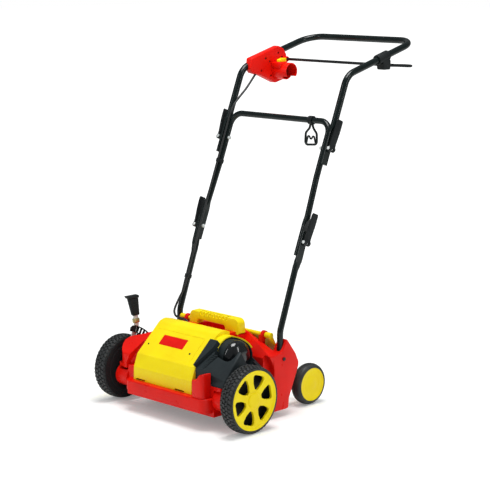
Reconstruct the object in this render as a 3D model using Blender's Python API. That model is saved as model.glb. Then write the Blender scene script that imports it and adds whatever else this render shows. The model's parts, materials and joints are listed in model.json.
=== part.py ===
"""Electric lawn scarifier: red deck, yellow motor hood, tine rotor, four wheels and a folding tube handle.

Metres, +Z up. The front of the machine faces -Y and the handle rises towards +Y. Inside the functions a
point is (x, y, z) with y counted from the front wheels' axle and z from the ground; an empty called machine
then moves the whole so that the origin is at the middle of the base of its bounding box.
"""

import math

import bmesh
import bpy
from mathutils import Matrix, Vector

# Fits
GAP = 0.0003                # between faces that touch
RUN = 0.0004                # radial clearance of a turning fit
WALL = 0.003                # moulded plastic wall

# Half widths that set the places of the rest
DECK_HALF = 0.2335
TUNNEL_HALF = 0.1635

# Front wheels
FRONT_R = 0.100
FRONT_WIDTH = 0.047
FRONT_OUTER_X = DECK_HALF + 0.0665  # outer face of the rim
RIM_R = 0.0885
RIM_BAND = 0.0078
RIM_DISC = 0.0075
RIM_DISH = 0.0045           # how far the disc sits inside the rim's edge
HUB_R = 0.017
CAP_R = 0.0245
CAP_SINK = 0.002
OPENINGS = 6
OPENING_IN_R = 0.034
OPENING_OUT_R = 0.0760
OPENING_TURN = 12.0         # degrees, first opening above the rearward direction

# Rear wheels
REAR_AXLE_Y = 0.346
REAR_R = 0.064
REAR_AXLE_Z = REAR_R
REAR_WIDTH = 0.038
REAR_OUTER_X = DECK_HALF - 0.0225
REAR_DISC_R = 0.0515
REAR_AXLE_R = 0.005

# Cranked front axle and depth lever
PIVOT_Y = -0.030
PIVOT_Z = 0.088
AXLE_R = 0.007
STUB_R = 0.006
CRANK_X = DECK_HALF + 0.0095        # inner face of the crank plates
CRANK_THICK = 0.0055
CRANK_HALF = 0.010
BOSS_R = 0.033
BOSS_END_X = DECK_HALF + 0.005
LEVER_TURN = 22.0           # degrees the lever leans to the rear at rest
LEVER_THICK = 0.0038
LEVER_HALF = 0.009
LEVER_BEND_R = 0.155        # distance from the pivot to the lever's bend
LEVER_TOP_Z = 0.322
LEVER_LEAN_X = 0.018        # how far the grip stands outside the plate
LEVER_EYE_R = 0.0125
GRIP_LENGTH = 0.062
GRIP_CAP = 0.006            # solid top of the grip
COLLAR_Z = 0.2375
QUADRANT_IN_R = 0.094
QUADRANT_OUT_R = 0.152
QUADRANT_START = 12.0
QUADRANT_END = 52.0
QUADRANT_THICK = 0.0044
NOTCHES = 5
NOTCH_PITCH = 5.5           # degrees

# Deck
DECK_BASE_Z = 0.022
DECK_FRONT_Y = -0.055
DECK_REAR_Y = 0.215
DECK_TOP_Z = 0.130
FENDER_TOP_Z = 0.204
FENDER_FRONT_Y = -0.060
FENDER_IN_X = -0.1445
SADDLE_FRONT_Y = 0.0885
SADDLE_REAR_Y = 0.165
SADDLE_TOP_Z = 0.250
SADDLE_FLAT_HALF = 0.100
SADDLE_EDGE_Z = 0.197
SADDLE_STEP_X = 0.102       # right of this the saddle stands back behind the drum
SADDLE_STEP_Y = 0.1212
POST_IN_X = 0.128
POST_OUT_X = 0.186
POST_BASE_Z = 0.0955
POST_TOP_Z = 0.165
POST_FRONT_Y = -0.0875
PILLAR_WIDTH = 0.0365
ARM_IN_X = REAR_OUTER_X - 0.065
ARM_THICK = 0.020
ARM_BOSS_R = 0.020
WELL_HALF = 0.060
WELL_FLOOR_Z = 0.217
WELL_FRONT_Y = 0.107
WELL_REAR_Y = 0.158
OUTLET_HALF = 0.140
OUTLET_TOP_Z = 0.200

# Front apron
APRON_HALF = 0.186
APRON_FRONT_Y = -0.0905
APRON_BASE_Z = 0.052
APRON_TOP_Z = 0.0952
APRON_CORNER = 0.028

# Motor hood
HOOD_LEFT_X = -0.144
HOOD_RIGHT_X = 0.109
HOOD_BASE_Z = 0.0955
HOOD_FRONT_Y = -0.072
CREASE_Y = -0.055
CREASE_Z = 0.173
BROW_Y = 0.030
BROW_Z = 0.252
CROWN_Y = 0.060
CROWN_Z = 0.265
HOOD_REAR_Y = 0.088
HOOD_REAR_Z = 0.2585
ARCH_WALL = 0.0065
ARCH_END_X = 0.135
FLARE_THICK = 0.0065
PLATE_LENGTH = 0.104
PLATE_WIDTH = 0.035
PLATE_THICK = 0.001
PLATE_X = -0.035            # middle of the red plate
PLATE_UP = 0.065            # from the crease up the slope to the plate's middle
HOOD_SCREW_X = (-0.126, 0.055)
HOOD_SCREW_UP = 0.040
HOOD_SLOT_X = (-0.113, 0.058)

# Motor, belt and side cover
MOTOR_Y = 0.062
MOTOR_Z = 0.195
MOTOR_R = 0.040
MOTOR_LEFT_X = -0.112
MOTOR_RIGHT_X = 0.1015
MOTOR_SHAFT_R = 0.006
MOTOR_SHAFT_IN = 0.064      # how far the shaft reaches into the motor
MOTOR_FEET_X = (-0.080, 0.070)
DRUM_R = 0.050
DRUM_CLEAR = 0.0015
DRUM_OUT_X = 0.158
DOME_END_X = 0.191
COVER_IN_X = 0.1095
COVER_OUT_X = DECK_HALF - 0.011
COVER_REAR_Y = 0.120
COVER_BASE_Z = DECK_TOP_Z + GAP
BELT_X = TUNNEL_HALF + 0.0125
BELT_WIDTH = 0.008
BELT_THICK = 0.0025
BELT_CLEAR = 0.0006
MOTOR_PULLEY_R = 0.0105
ROTOR_PULLEY_R = 0.0252

# Tine rotor
ROTOR_Y = 0.115
ROTOR_Z = 0.070
TINE_R = 0.062
TINE_THICK = 0.002
TINES = 14
TINE_PITCH = 2 * (TUNNEL_HALF - 0.02375) / (TINES - 1)
TINE_ROOT_R = 0.018
TINE_STAGGER = 13.0         # degrees from blade to blade
ROTOR_SHAFT_R = 0.008
SPACER_R = 0.013
TUNNEL_R = 0.070
BEARING_R = 0.016
BEARING_WIDTH = 0.010

# Rear flap and carry handle
FLAP_HINGE_Y = 0.178
FLAP_HINGE_Z = 0.243
FLAP_BARREL_R = 0.0065
FLAP_HALF = DECK_HALF - 0.0455
FLAP_END_Y = 0.256
FLAP_END_Z = 0.130
FLAP_RING_X = DECK_HALF - 0.0685
FLAP_RING_R = 0.0125
FLAP_RING_WIDTH = 0.012
FLAP_ARM_X = DECK_HALF - 0.041
FLAP_ARM_R = 0.0085
CARRY_Y = 0.136
CARRY_DEPTH = 0.030
CARRY_HALF = 0.112
CARRY_TOP_Z = 0.2965
CARRY_BAR = 0.034
CARRY_RIDGES = 8
RIDGE_HEIGHT = 0.0015

# Tube handle
LOWER_TUBE_R = 0.0095
UPPER_TUBE_R = 0.011
TUBE_WALL = 0.0014
LOWER_X = DECK_HALF - 0.016
MIDDLE_TOP_X = LOWER_X - 0.0092
UPPER_X = LOWER_X + 0.0047
FLAT_X = LOWER_X + 0.0007           # plane between the two flattened tubes of a joint
FLAT_THICK = 0.008
FLAT_HALF = 0.013
FLAT_REACH = 0.048          # from a joint to the end of the flat
SOCKET_Y = 0.1915
SOCKET_BASE_Z = 0.115
SOCKET_BEND_Z = 0.2585
LOWER_JOINT = (0.284, 0.516)
UPPER_JOINT = (0.3915, 0.788)
CROSSBAR = (0.4223, 0.8651)
CROSS_CORNER = 0.040
LEG_TOP = (0.4773, 1.0036)
TOP_BAR = (0.8015, 1.0938)
ARM_BEND = 0.060
TOP_BEND = 0.060
SOCKET_BOLT_Z = 0.177
BOLT_R = 0.003
LEVER_LENGTH = 0.092
CAM_R = 0.0085
CHEEK = 0.0065
EYE_R = 0.005
EYE_HALF = 0.003
EYE_HALF_CLEAR = 0.0034
PIN_ROD_R = 0.0022
NUT_R = 0.006
NUT_LENGTH = 0.006
LOWER_LEVER_WAY = (0.37, 0.93)
UPPER_LEVER_WAY = (0.37, 0.93)

# Switch box, bail and cable
BOX_IN_X = -UPPER_X + 0.0222
BOX_OUT_X = -UPPER_X - 0.0208
BOX_WALL = 0.0022
BOX_SCREW_R = 0.0015
BOX_SCREWS = ((0.520, 0.998), (0.650, 0.975), (0.650, 1.005), (0.585, 0.9665))
SHROUD_Y = 0.618
SHROUD_Z = 0.990
SHROUD_R = 0.0275
SHROUD_END_X = BOX_IN_X + 0.058
SHROUD_WALL = 0.0028
INLET_DEPTH = 0.030
PIN_R = 0.002
PIN_SPAN = 0.011
BUTTON_X = BOX_IN_X + 0.028
BUTTON_Y = SHROUD_Y - 0.011
BUTTON_HALF_X = 0.007
BUTTON_HALF_Y = 0.015
BUTTON_TRAVEL = 0.004
RAMP_RISE = 0.0045
SLOT_SINK = 0.0018
BAIL_Y = 0.650
BAIL_Z = 1.026
BAIL_R = 0.0045
BAIL_BOSS_X = BOX_IN_X + 0.014
BAIL_LEVER_HALF = 0.0065
BAIL_LEVER_LENGTH = 0.134
BRACKET_IN_X = UPPER_X - 0.0162
BRACKET_OUT_X = UPPER_X + 0.0163
BAIL_DROP = 4.0             # degrees the lever points below level
CABLE_R = 0.0035
CABLE_STEP = 0.016
CABLE_X = -LOWER_X + 0.0116
CABLE_AHEAD = 0.0145        # in front of the tube's middle line
CLIP_HALF = 0.006
CLIP_WALL = 0.0016
UPPER_CLIP_DOWN = 0.0785    # below the joint, along the tube
LOWER_CLIP_DOWN = 0.1655
HOOK_X = 0.120
HOOK_WIRE_R = 0.0028

# Sides of round shapes
WHEEL = 24                  # a multiple of four, so that a wheel's lowest corner touches the ground
FINE = 22
MEDIUM = 14
COARSE = 8

MID_Y = (TOP_BAR[0] + UPPER_TUBE_R - FRONT_R) / 2
RUBBER = ("tyre rubber", (0.03, 0.03, 0.032), 0.75, 0.0)
YELLOW = ("yellow plastic", (0.95, 0.78, 0.01), 0.35, 0.0)
RED = ("red plastic", (0.75, 0.015, 0.01), 0.35, 0.0)
BLACK = ("black plastic", (0.02, 0.022, 0.025), 0.45, 0.0)
GLOSS = ("glossy black plastic", (0.01, 0.01, 0.012), 0.12, 0.0)
TUBE = ("black coated tube", (0.02, 0.028, 0.028), 0.25, 0.3)
ZINC = ("zinc plated steel", (0.6, 0.62, 0.62), 0.3, 1.0)
STEEL = ("steel", (0.4, 0.4, 0.42), 0.4, 1.0)
ALUMINIUM = ("aluminium", (0.6, 0.6, 0.6), 0.45, 1.0)
BRASS = ("brass plating", (0.75, 0.5, 0.15), 0.35, 1.0)
CORD = ("cable sheath", (0.015, 0.015, 0.015), 0.5, 0.0)

for old in list(bpy.data.objects):
    bpy.data.objects.remove(old, do_unlink=True)

machine = bpy.data.objects.new("machine", None)
machine.location = (0, -MID_Y, 0)
bpy.context.scene.collection.objects.link(machine)


# Helpers that make objects

def material(spec):
    """The Principled material of one finish, made once."""
    name, colour, roughness, metallic = spec
    made = bpy.data.materials.get(name)
    if made is None:
        made = bpy.data.materials.new(name)
        made.use_nodes = True
        shader = made.node_tree.nodes["Principled BSDF"]
        shader.inputs["Base Color"].default_value = (*colour, 1.0)
        shader.inputs["Roughness"].default_value = roughness
        shader.inputs["Metallic"].default_value = metallic
        made.diffuse_color = (*colour, 1.0)
    return made


def place(name, bm, spec, origin=(0, 0, 0)):
    """An object from a mesh in machine coordinates, with its own origin at a joint's axis or at zero."""
    bmesh.ops.translate(bm, verts=bm.verts, vec=-Vector(origin))
    bmesh.ops.recalc_face_normals(bm, faces=bm.faces)
    mesh = bpy.data.meshes.new(name)
    bm.to_mesh(mesh)
    bm.free()
    mesh.materials.append(material(spec))
    mesh.shade_smooth()
    mesh.set_sharp_from_angle(angle=math.radians(35))
    made = bpy.data.objects.new(name, mesh)
    made.location = origin
    made.parent = machine
    bpy.context.scene.collection.objects.link(made)
    return made


def as_object(bm):
    """A temporary object in triangles, with its points on a grid fine enough to keep flat faces flush."""
    for vert in bm.verts:
        vert.co = [round(value, 6) for value in vert.co]
    bmesh.ops.recalc_face_normals(bm, faces=bm.faces)
    bmesh.ops.triangulate(bm, faces=bm.faces)
    mesh = bpy.data.meshes.new("tool")
    bm.to_mesh(mesh)
    bm.free()
    made = bpy.data.objects.new("tool", mesh)
    bpy.context.scene.collection.objects.link(made)
    return made


def boolean(bm, tools, operation):
    """The body bm joined with, or cut by, each tool in turn, with the exact solver."""
    for tool_bm in tools:
        body = as_object(bm)
        tool = as_object(tool_bm)
        step = body.modifiers.new("step", "BOOLEAN")
        step.operation = operation
        step.solver = "EXACT"
        step.object = tool
        found = body.evaluated_get(bpy.context.evaluated_depsgraph_get())
        bm = bmesh.new()
        bm.from_mesh(found.to_mesh())
        for used in (tool, body):
            bpy.data.objects.remove(used, do_unlink=True)
        bmesh.ops.remove_doubles(bm, verts=bm.verts, dist=2e-6)
        bmesh.ops.dissolve_degenerate(bm, dist=2e-6, edges=bm.edges)
    return bm


def cut(bm, *tools):
    return boolean(bm, tools, "DIFFERENCE")


def join(bm, *tools):
    return boolean(bm, tools, "UNION")


def together(*parts):
    """Several bodies that don't touch, as one mesh."""
    whole = bmesh.new()
    for part in parts:
        mesh = bpy.data.meshes.new("part")
        bmesh.ops.recalc_face_normals(part, faces=part.faces)
        part.to_mesh(mesh)
        part.free()
        whole.from_mesh(mesh)
        bpy.data.meshes.remove(mesh)
    return whole


# Helpers that make shapes

def box(x0, x1, y0, y1, z0, z1):
    bm = bmesh.new()
    bmesh.ops.create_cube(bm, size=1.0)
    bmesh.ops.scale(bm, verts=bm.verts, vec=(x1 - x0, y1 - y0, z1 - z0))
    bmesh.ops.translate(bm, verts=bm.verts, vec=((x0 + x1) / 2, (y0 + y1) / 2, (z0 + z1) / 2))
    return bm


def extruded(outline, direction):
    """A prism: the outline's points, all in one plane, pushed along a direction."""
    bm = bmesh.new()
    face = bm.faces.new([bm.verts.new(point) for point in outline])
    moved = bmesh.ops.extrude_face_region(bm, geom=[face])
    top = [item for item in moved["geom"] if isinstance(item, bmesh.types.BMVert)]
    bmesh.ops.translate(bm, verts=top, vec=direction)
    bmesh.ops.recalc_face_normals(bm, faces=bm.faces)
    return bm


def along_x(outline, x0, x1):
    """A prism along X from (y, z) points."""
    return extruded([(x0, y, z) for y, z in outline], (x1 - x0, 0, 0))


def along_y(outline, y0, y1):
    """A prism along Y from (x, z) points."""
    return extruded([(x, y0, z) for x, z in outline], (0, y1 - y0, 0))


def along_z(outline, z0, z1):
    """A prism along Z from (x, y) points."""
    return extruded([(x, y, z0) for x, y in outline], (0, 0, z1 - z0))


def lofted(*outlines):
    """A solid through outlines with as many points each."""
    bm = bmesh.new()
    loops = [[bm.verts.new(point) for point in outline] for outline in outlines]
    bm.faces.new(loops[0])
    bm.faces.new(list(reversed(loops[-1])))
    for near, far in zip(loops, loops[1:]):
        for i in range(len(near)):
            j = (i + 1) % len(near)
            bm.faces.new((near[j], near[i], far[i], far[j]))
    bmesh.ops.recalc_face_normals(bm, faces=bm.faces)
    return bm


def rod(start, end, radius, sides=COARSE, end_radius=None):
    """A round bar, or a cone, between two points."""
    start, end = Vector(start), Vector(end)
    run = end - start
    bm = bmesh.new()
    bmesh.ops.create_cone(bm, cap_ends=True, segments=sides, radius1=radius,
                          radius2=radius if end_radius is None else end_radius, depth=run.length)
    turn = Vector((0, 0, 1)).rotation_difference(run).to_matrix().to_4x4()
    bmesh.ops.transform(bm, matrix=Matrix.Translation((start + end) / 2) @ turn, verts=bm.verts)
    return bm


def rod_x(x0, x1, y, z, radius, sides=COARSE):
    return rod((x0, y, z), (x1, y, z), radius, sides)


def turned(profile, y, z, sides):
    """A body turned about an axis along X from a closed profile of (x, radius) points; a radius of zero
    is a point on the axis."""
    bm = bmesh.new()
    rings = []
    for x, radius in profile:
        if radius == 0:
            rings.append([bm.verts.new((x, y, z))] * sides)
            continue
        angles = [2 * math.pi * i / sides for i in range(sides)]
        rings.append([bm.verts.new((x, y + radius * math.cos(a), z + radius * math.sin(a))) for a in angles])
    for k in range(len(rings)):
        near, far = rings[k], rings[(k + 1) % len(rings)]
        for i in range(sides):
            j = (i + 1) % sides
            corners = []
            for vert in (near[i], near[j], far[j], far[i]):
                if vert not in corners:
                    corners.append(vert)
            if len(corners) > 2:
                bm.faces.new(corners)
    bmesh.ops.recalc_face_normals(bm, faces=bm.faces)
    return bm


def ring_x(x0, x1, y, z, outer, inner, sides):
    return turned([(x0, inner), (x0, outer), (x1, outer), (x1, inner)], y, z, sides)


def polar(y, z, radius, degrees):
    """The (y, z) point at an angle from +Y towards +Z about a centre."""
    a = math.radians(degrees)
    return (y + radius * math.cos(a), z + radius * math.sin(a))


def arc(y, z, radius, start, end, steps):
    """Points on a circle in the YZ plane, between two angles in degrees."""
    return [polar(y, z, radius, start + (end - start) * i / steps) for i in range(steps + 1)]


def bevelled(bm, width, segments=1, limit=30.0):
    """The body with its sharp edges rounded."""
    sharp = [edge for edge in bm.edges
             if len(edge.link_faces) == 2 and edge.calc_face_angle() > math.radians(limit)]
    bmesh.ops.bevel(bm, geom=sharp, offset=width, segments=segments, profile=0.5, affect="EDGES",
                    clamp_overlap=True)
    return bm


# Helpers that make tubes

def filleted(corners, radii, steps):
    """A path through corner points, each inner corner rounded to its radius."""
    corners = [Vector(corner) for corner in corners]
    path = [corners[0]]
    for i in range(1, len(corners) - 1):
        if not radii[i - 1]:
            path.append(corners[i])
            continue
        before = (corners[i - 1] - corners[i]).normalized()
        after = (corners[i + 1] - corners[i]).normalized()
        half = before.angle(after) / 2
        reach = radii[i - 1] / math.tan(half)
        centre = corners[i] + (before + after).normalized() * radii[i - 1] / math.sin(half)
        first = corners[i] + before * reach - centre
        last = corners[i] + after * reach - centre
        sweep = first.angle(last)
        axis = first.cross(last).normalized()
        for k in range(steps + 1):
            path.append(centre + Matrix.Rotation(sweep * k / steps, 3, axis) @ first)
    path.append(corners[-1])
    return path


def section(radius, flat, half, thick):
    """Eight points of a tube's section, from round (flat 0) to pressed flat (flat 1)."""
    h = thick / 2
    straight = half - h
    pressed = [(h, 0), (h, straight), (0, half), (-h, straight), (-h, 0), (-h, -straight), (0, -half),
               (h, -straight)]
    points = []
    for i, (px, py) in enumerate(pressed):
        cx, cy = radius * math.cos(math.radians(45 * i)), radius * math.sin(math.radians(45 * i))
        points.append((cx + (px - cx) * flat, cy + (py - cy) * flat))
    return points


def pipe(path, flats, side, radius):
    """An open ended tube: outer and inner skins joined at both ends."""
    bm = bmesh.new()
    skins = []
    for shrink in (0.0, TUBE_WALL):
        rings = []
        across = Vector(side)
        for i, point in enumerate(path):
            before = (path[i] - path[i - 1]).normalized() if i else None
            after = (path[i + 1] - path[i]).normalized() if i + 1 < len(path) else None
            tangent = ((before or after) + (after or before)).normalized()
            across = (across - tangent * across.dot(tangent)).normalized()
            other = tangent.cross(across)
            shape = section(radius - shrink, flats[i], FLAT_HALF - shrink, FLAT_THICK - 2 * shrink)
            rings.append([bm.verts.new(point + across * a + other * b) for a, b in shape])
        skins.append(rings)
    outer, inner = skins
    count = len(outer[0])
    for i in range(count):
        j = (i + 1) % count
        for k in range(len(outer) - 1):
            bm.faces.new((outer[k][i], outer[k][j], outer[k + 1][j], outer[k + 1][i]))
            bm.faces.new((inner[k][j], inner[k][i], inner[k + 1][i], inner[k + 1][j]))
        bm.faces.new((outer[0][j], outer[0][i], inner[0][i], inner[0][j]))
        bm.faces.new((outer[-1][i], outer[-1][j], inner[-1][j], inner[-1][i]))
    bmesh.ops.recalc_face_normals(bm, faces=bm.faces)
    return bm


def inset(outline, distance):
    """A closed outline with every side moved inwards, whichever way round its points run."""
    count = len(outline)
    area = sum(outline[i - 1][0] * outline[i][1] - outline[i][0] * outline[i - 1][1] for i in range(count))
    side = 1 if area > 0 else -1
    moved = []
    for i in range(count):
        before, here, after = (Vector(outline[(i + k) % count]) for k in (-1, 0, 1))
        first = (here - before).normalized()
        second = (after - here).normalized()
        n1 = Vector((-first.y, first.x)) * side
        n2 = Vector((-second.y, second.x)) * side
        moved.append(tuple(here + (n1 + n2) * distance / (1 + n1.dot(n2))))
    return moved


def bore_r(radius, clearance, sides):
    """The radius of a faceted bore whose flats clear a shaft by the given amount."""
    return (radius + clearance) / math.cos(math.pi / sides)


def common(first, second):
    """The space that two bodies share."""
    return boolean(first, [second], "INTERSECT")


def tube_in_yz(x, start, end, radius, sides=COARSE):
    """A round bar between two (y, z) points at one x."""
    return rod((x, *start), (x, *end), radius, sides)


def tunnel_space(clearance):
    """What the tine tunnel fills, for cutting its neighbours."""
    reach = TUNNEL_HALF + clearance
    return rod_x(-reach, reach, ROTOR_Y, ROTOR_Z, bore_r(TUNNEL_R + WALL, clearance, FINE), FINE)


# Deck

def saddle_outline():
    """The saddle behind the hood, across the machine."""
    return [(-DECK_HALF, 0.100), (-DECK_HALF, SADDLE_EDGE_Z), (-SADDLE_FLAT_HALF, SADDLE_TOP_Z),
            (SADDLE_FLAT_HALF, SADDLE_TOP_Z), (DECK_HALF, SADDLE_EDGE_Z), (DECK_HALF, 0.100)]


def pillar_outline(base_z):
    """The pillar that holds a handle tube, seen from the side."""
    return [(0.150, base_z), (0.150, 0.195), (0.182, 0.199), (0.2030, 0.236), (0.210, 0.232), (0.245, 0.186),
            (0.258, 0.159), (0.258, 0.146), (0.217, 0.052), (0.215, base_z)]


def fender(wall):
    """The left fender's block, or with a wall the space inside it."""
    side = [(-0.060, POST_BASE_Z), (-0.060, 0.165), (-0.027, 0.192), (0.020, 0.233), (0.100, 0.233),
            (0.100, POST_BASE_Z)]
    across = [(-DECK_HALF, POST_BASE_Z), (-DECK_HALF, 0.194), (-DECK_HALF + 0.0095, FENDER_TOP_Z),
              (-DECK_HALF + 0.0435, 0.213),
              (FENDER_IN_X, 0.230), (FENDER_IN_X, POST_BASE_Z)]
    if wall:
        side = inset(side, wall)
        across = inset(across, wall)
    block = common(along_x(side, -DECK_HALF, FENDER_IN_X), along_y(across, FENDER_FRONT_Y, 0.100))
    return block if wall else bevelled(block, 0.004, 1, 25)


def saddle(wall):
    """The saddle's block, set back on the right behind the motor's drum, or the space inside it."""
    outline = inset(saddle_outline(), wall) if wall else saddle_outline()
    block = along_y(outline, SADDLE_FRONT_Y + wall, SADDLE_REAR_Y - wall)
    step = box(SADDLE_STEP_X - wall, DECK_HALF + wall, 0.0, SADDLE_STEP_Y + wall, DECK_TOP_Z, 0.3)
    block = cut(block, step)
    return block if wall else bevelled(block, 0.003, 1, 15)


def make_chassis():
    tub = box(-DECK_HALF, DECK_HALF, DECK_FRONT_Y, DECK_REAR_Y, DECK_BASE_Z, DECK_TOP_Z)
    right = POST_OUT_X
    post = [(POST_IN_X, POST_FRONT_Y), (right - 0.026, POST_FRONT_Y), (right - 0.008, POST_FRONT_Y + 0.006),
            (right, POST_FRONT_Y + 0.020), (right, DECK_FRONT_Y - 0.0005), (POST_IN_X, DECK_FRONT_Y - 0.0005)]
    post = join(bevelled(along_z(post, POST_BASE_Z, POST_TOP_Z), 0.002, 1, 50),
                box(POST_IN_X, right, -0.060, -0.053, POST_BASE_Z, DECK_TOP_Z - 0.001))
    corner = box(-right, FENDER_IN_X, POST_FRONT_Y + 0.006, -0.057, POST_BASE_Z, 0.150)
    outer = [saddle(0), fender(0), post, corner]
    for side in (1, -1):
        outer.append(rod_x(side * (APRON_HALF + 0.0005), side * BOSS_END_X, PIVOT_Y, PIVOT_Z, BOSS_R, MEDIUM))
        outer.append(bevelled(along_x(pillar_outline(DECK_BASE_Z), side * (DECK_HALF - PILLAR_WIDTH),
                                      side * DECK_HALF), 0.003, 1, 20))
        arm = [(0.200, 0.056), (0.200, 0.124), (0.235, 0.124), (REAR_AXLE_Y + 0.006, REAR_AXLE_Z + 0.0190),
               (REAR_AXLE_Y + 0.006, REAR_AXLE_Z - 0.0190), (0.270, 0.048)]
        outer.append(along_x(arm, side * ARM_IN_X, side * (ARM_IN_X + ARM_THICK)))
        outer.append(rod_x(side * ARM_IN_X, side * (ARM_IN_X + ARM_THICK), REAR_AXLE_Y, REAR_AXLE_Z,
                           ARM_BOSS_R, MEDIUM))
    body = join(tub, *outer)
    hollow = [box(-DECK_HALF + WALL, DECK_HALF - WALL, DECK_FRONT_Y + WALL, DECK_REAR_Y - WALL,
                  0.0, DECK_TOP_Z - WALL), saddle(WALL), fender(WALL)]
    for side in (1, -1):
        hollow.append(along_x(inset(pillar_outline(0.0), WALL), side * (DECK_HALF - PILLAR_WIDTH + WALL),
                              side * (DECK_HALF - WALL)))
    body = cut(body, *hollow)
    added = [box(-WELL_HALF - WALL, WELL_HALF + WALL - 0.006, WELL_FRONT_Y - WALL, WELL_REAR_Y + WALL,
                 WELL_FLOOR_Z - WALL, SADDLE_TOP_Z - 0.001)]
    cuts = [box(-WELL_HALF, WELL_HALF - 0.006, WELL_FRONT_Y, WELL_REAR_Y, WELL_FLOOR_Z, 0.3),
            tunnel_space(GAP),
            box(-OUTLET_HALF, OUTLET_HALF, 0.155, 0.230, -0.01, OUTLET_TOP_Z),
            rod_x(MOTOR_LEFT_X - 0.004, COVER_IN_X, MOTOR_Y, MOTOR_Z, MOTOR_R + 0.0015, FINE),
            rod_x(FENDER_IN_X - 0.006, FENDER_IN_X + 0.003, MOTOR_Y, MOTOR_Z, 0.010),
            rod_x(-0.3, 0.3, PIVOT_Y, PIVOT_Z, bore_r(AXLE_R, RUN, MEDIUM), MEDIUM),
            rod_x(-0.2, 0.2, REAR_AXLE_Y, REAR_AXLE_Z, bore_r(REAR_AXLE_R, GAP, COARSE)),
            rod((-0.1425, 0.153, 0.200), (-0.1425, 0.153, 0.260), CABLE_R + 0.003)]
    for side in (1, -1):
        added.append(box(side * (LOWER_X - 0.013), side * (DECK_HALF - 0.001), SOCKET_Y - 0.0135,
                         SOCKET_Y + 0.0135, SOCKET_BASE_Z - WALL, 0.206))
        ring = [side * (FLAP_RING_X - FLAP_RING_WIDTH / 2), side * (FLAP_RING_X + FLAP_RING_WIDTH / 2)]
        added.append(rod_x(*ring, FLAP_HINGE_Y, FLAP_HINGE_Z, FLAP_RING_R, MEDIUM))
        added.append(box(*ring, SADDLE_REAR_Y - 0.0025, FLAP_HINGE_Y - 0.003, 0.215, FLAP_HINGE_Z + 0.002))
        cuts.append(rod((side * LOWER_X, SOCKET_Y, SOCKET_BASE_Z - GAP), (side * LOWER_X, SOCKET_Y, 0.3),
                        bore_r(LOWER_TUBE_R, GAP, COARSE)))
        cuts.append(rod_x(*[side * (FLAP_RING_X + k * FLAP_RING_WIDTH) for k in (-1, 1)], FLAP_HINGE_Y,
                          FLAP_HINGE_Z, bore_r(FLAP_BARREL_R, RUN, COARSE)))
        cuts.append(rod_x(side * (LOWER_X - 0.02), side * (DECK_HALF + 0.05), SOCKET_Y, SOCKET_BOLT_Z,
                          bore_r(BOLT_R, GAP, COARSE)))
    return cut(join(body, *added), *cuts)


def make_apron():
    """The front apron below the hood, open underneath and behind."""
    def plan(inwards):
        half = APRON_HALF - inwards
        front = APRON_FRONT_Y + inwards
        corner = APRON_CORNER - inwards
        left = [(-half + corner - corner * math.sin(a), front + corner - corner * math.cos(a))
                for a in (math.radians(90 - 15 * i) for i in range(7))]
        right = [(-x, y) for x, y in reversed(left)]
        rear = DECK_FRONT_Y - GAP + (0.01 if inwards else 0)
        return [(-half, rear)] + left + right + [(half, rear)]
    outer = bevelled(along_z(plan(0), APRON_BASE_Z, APRON_TOP_Z), 0.002, 2, 50)
    rear_face = box(-0.3, 0.3, DECK_FRONT_Y - GAP, 0.1, 0.0, 0.2)
    slot = box(-0.020, 0.040, APRON_FRONT_Y - 0.001, APRON_FRONT_Y + 0.0008, 0.079, 0.0815)
    return cut(outer, along_z(plan(WALL), APRON_BASE_Z - 0.02, APRON_TOP_Z - WALL), rear_face, slot)


# Hood

def slope_z(y):
    """Height of the hood's sloping front."""
    return CREASE_Z + (y - CREASE_Y) * (BROW_Z - CREASE_Z) / (BROW_Y - CREASE_Y)


SLOPE = Vector((0, BROW_Y - CREASE_Y, BROW_Z - CREASE_Z)).normalized()
SLOPE_OUT = Vector((0, -SLOPE.z, SLOPE.y))


def on_slope(x, up, out=0.0):
    """A point on the hood's sloping front, a distance up from the crease and out from the surface."""
    return Vector((x, CREASE_Y, CREASE_Z)) + SLOPE * up + SLOPE_OUT * out


def slope_block(x0, x1, up0, up1, below, above):
    """A block lying on the hood's slope."""
    return extruded([on_slope(x, up, -below) for x, up in ((x0, up0), (x1, up0), (x1, up1), (x0, up1))],
                    SLOPE_OUT * (below + above))


def flare(grown):
    """The hood's right edge, spread out over the drum, or the space it needs."""
    foot = 0.004 - grown * 2
    corners = [(HOOD_RIGHT_X - 0.002, foot), (HOOD_RIGHT_X + grown, foot), (ARCH_END_X + grown, 0.074),
               (ARCH_END_X + grown, 0.100), (HOOD_RIGHT_X - 0.002, 0.100)]
    below = FLARE_THICK + grown
    above = 0.010 if grown else 0.0
    return extruded([on_slope(x, up, -below) for x, up in corners], SLOPE_OUT * (below + above))


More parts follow.
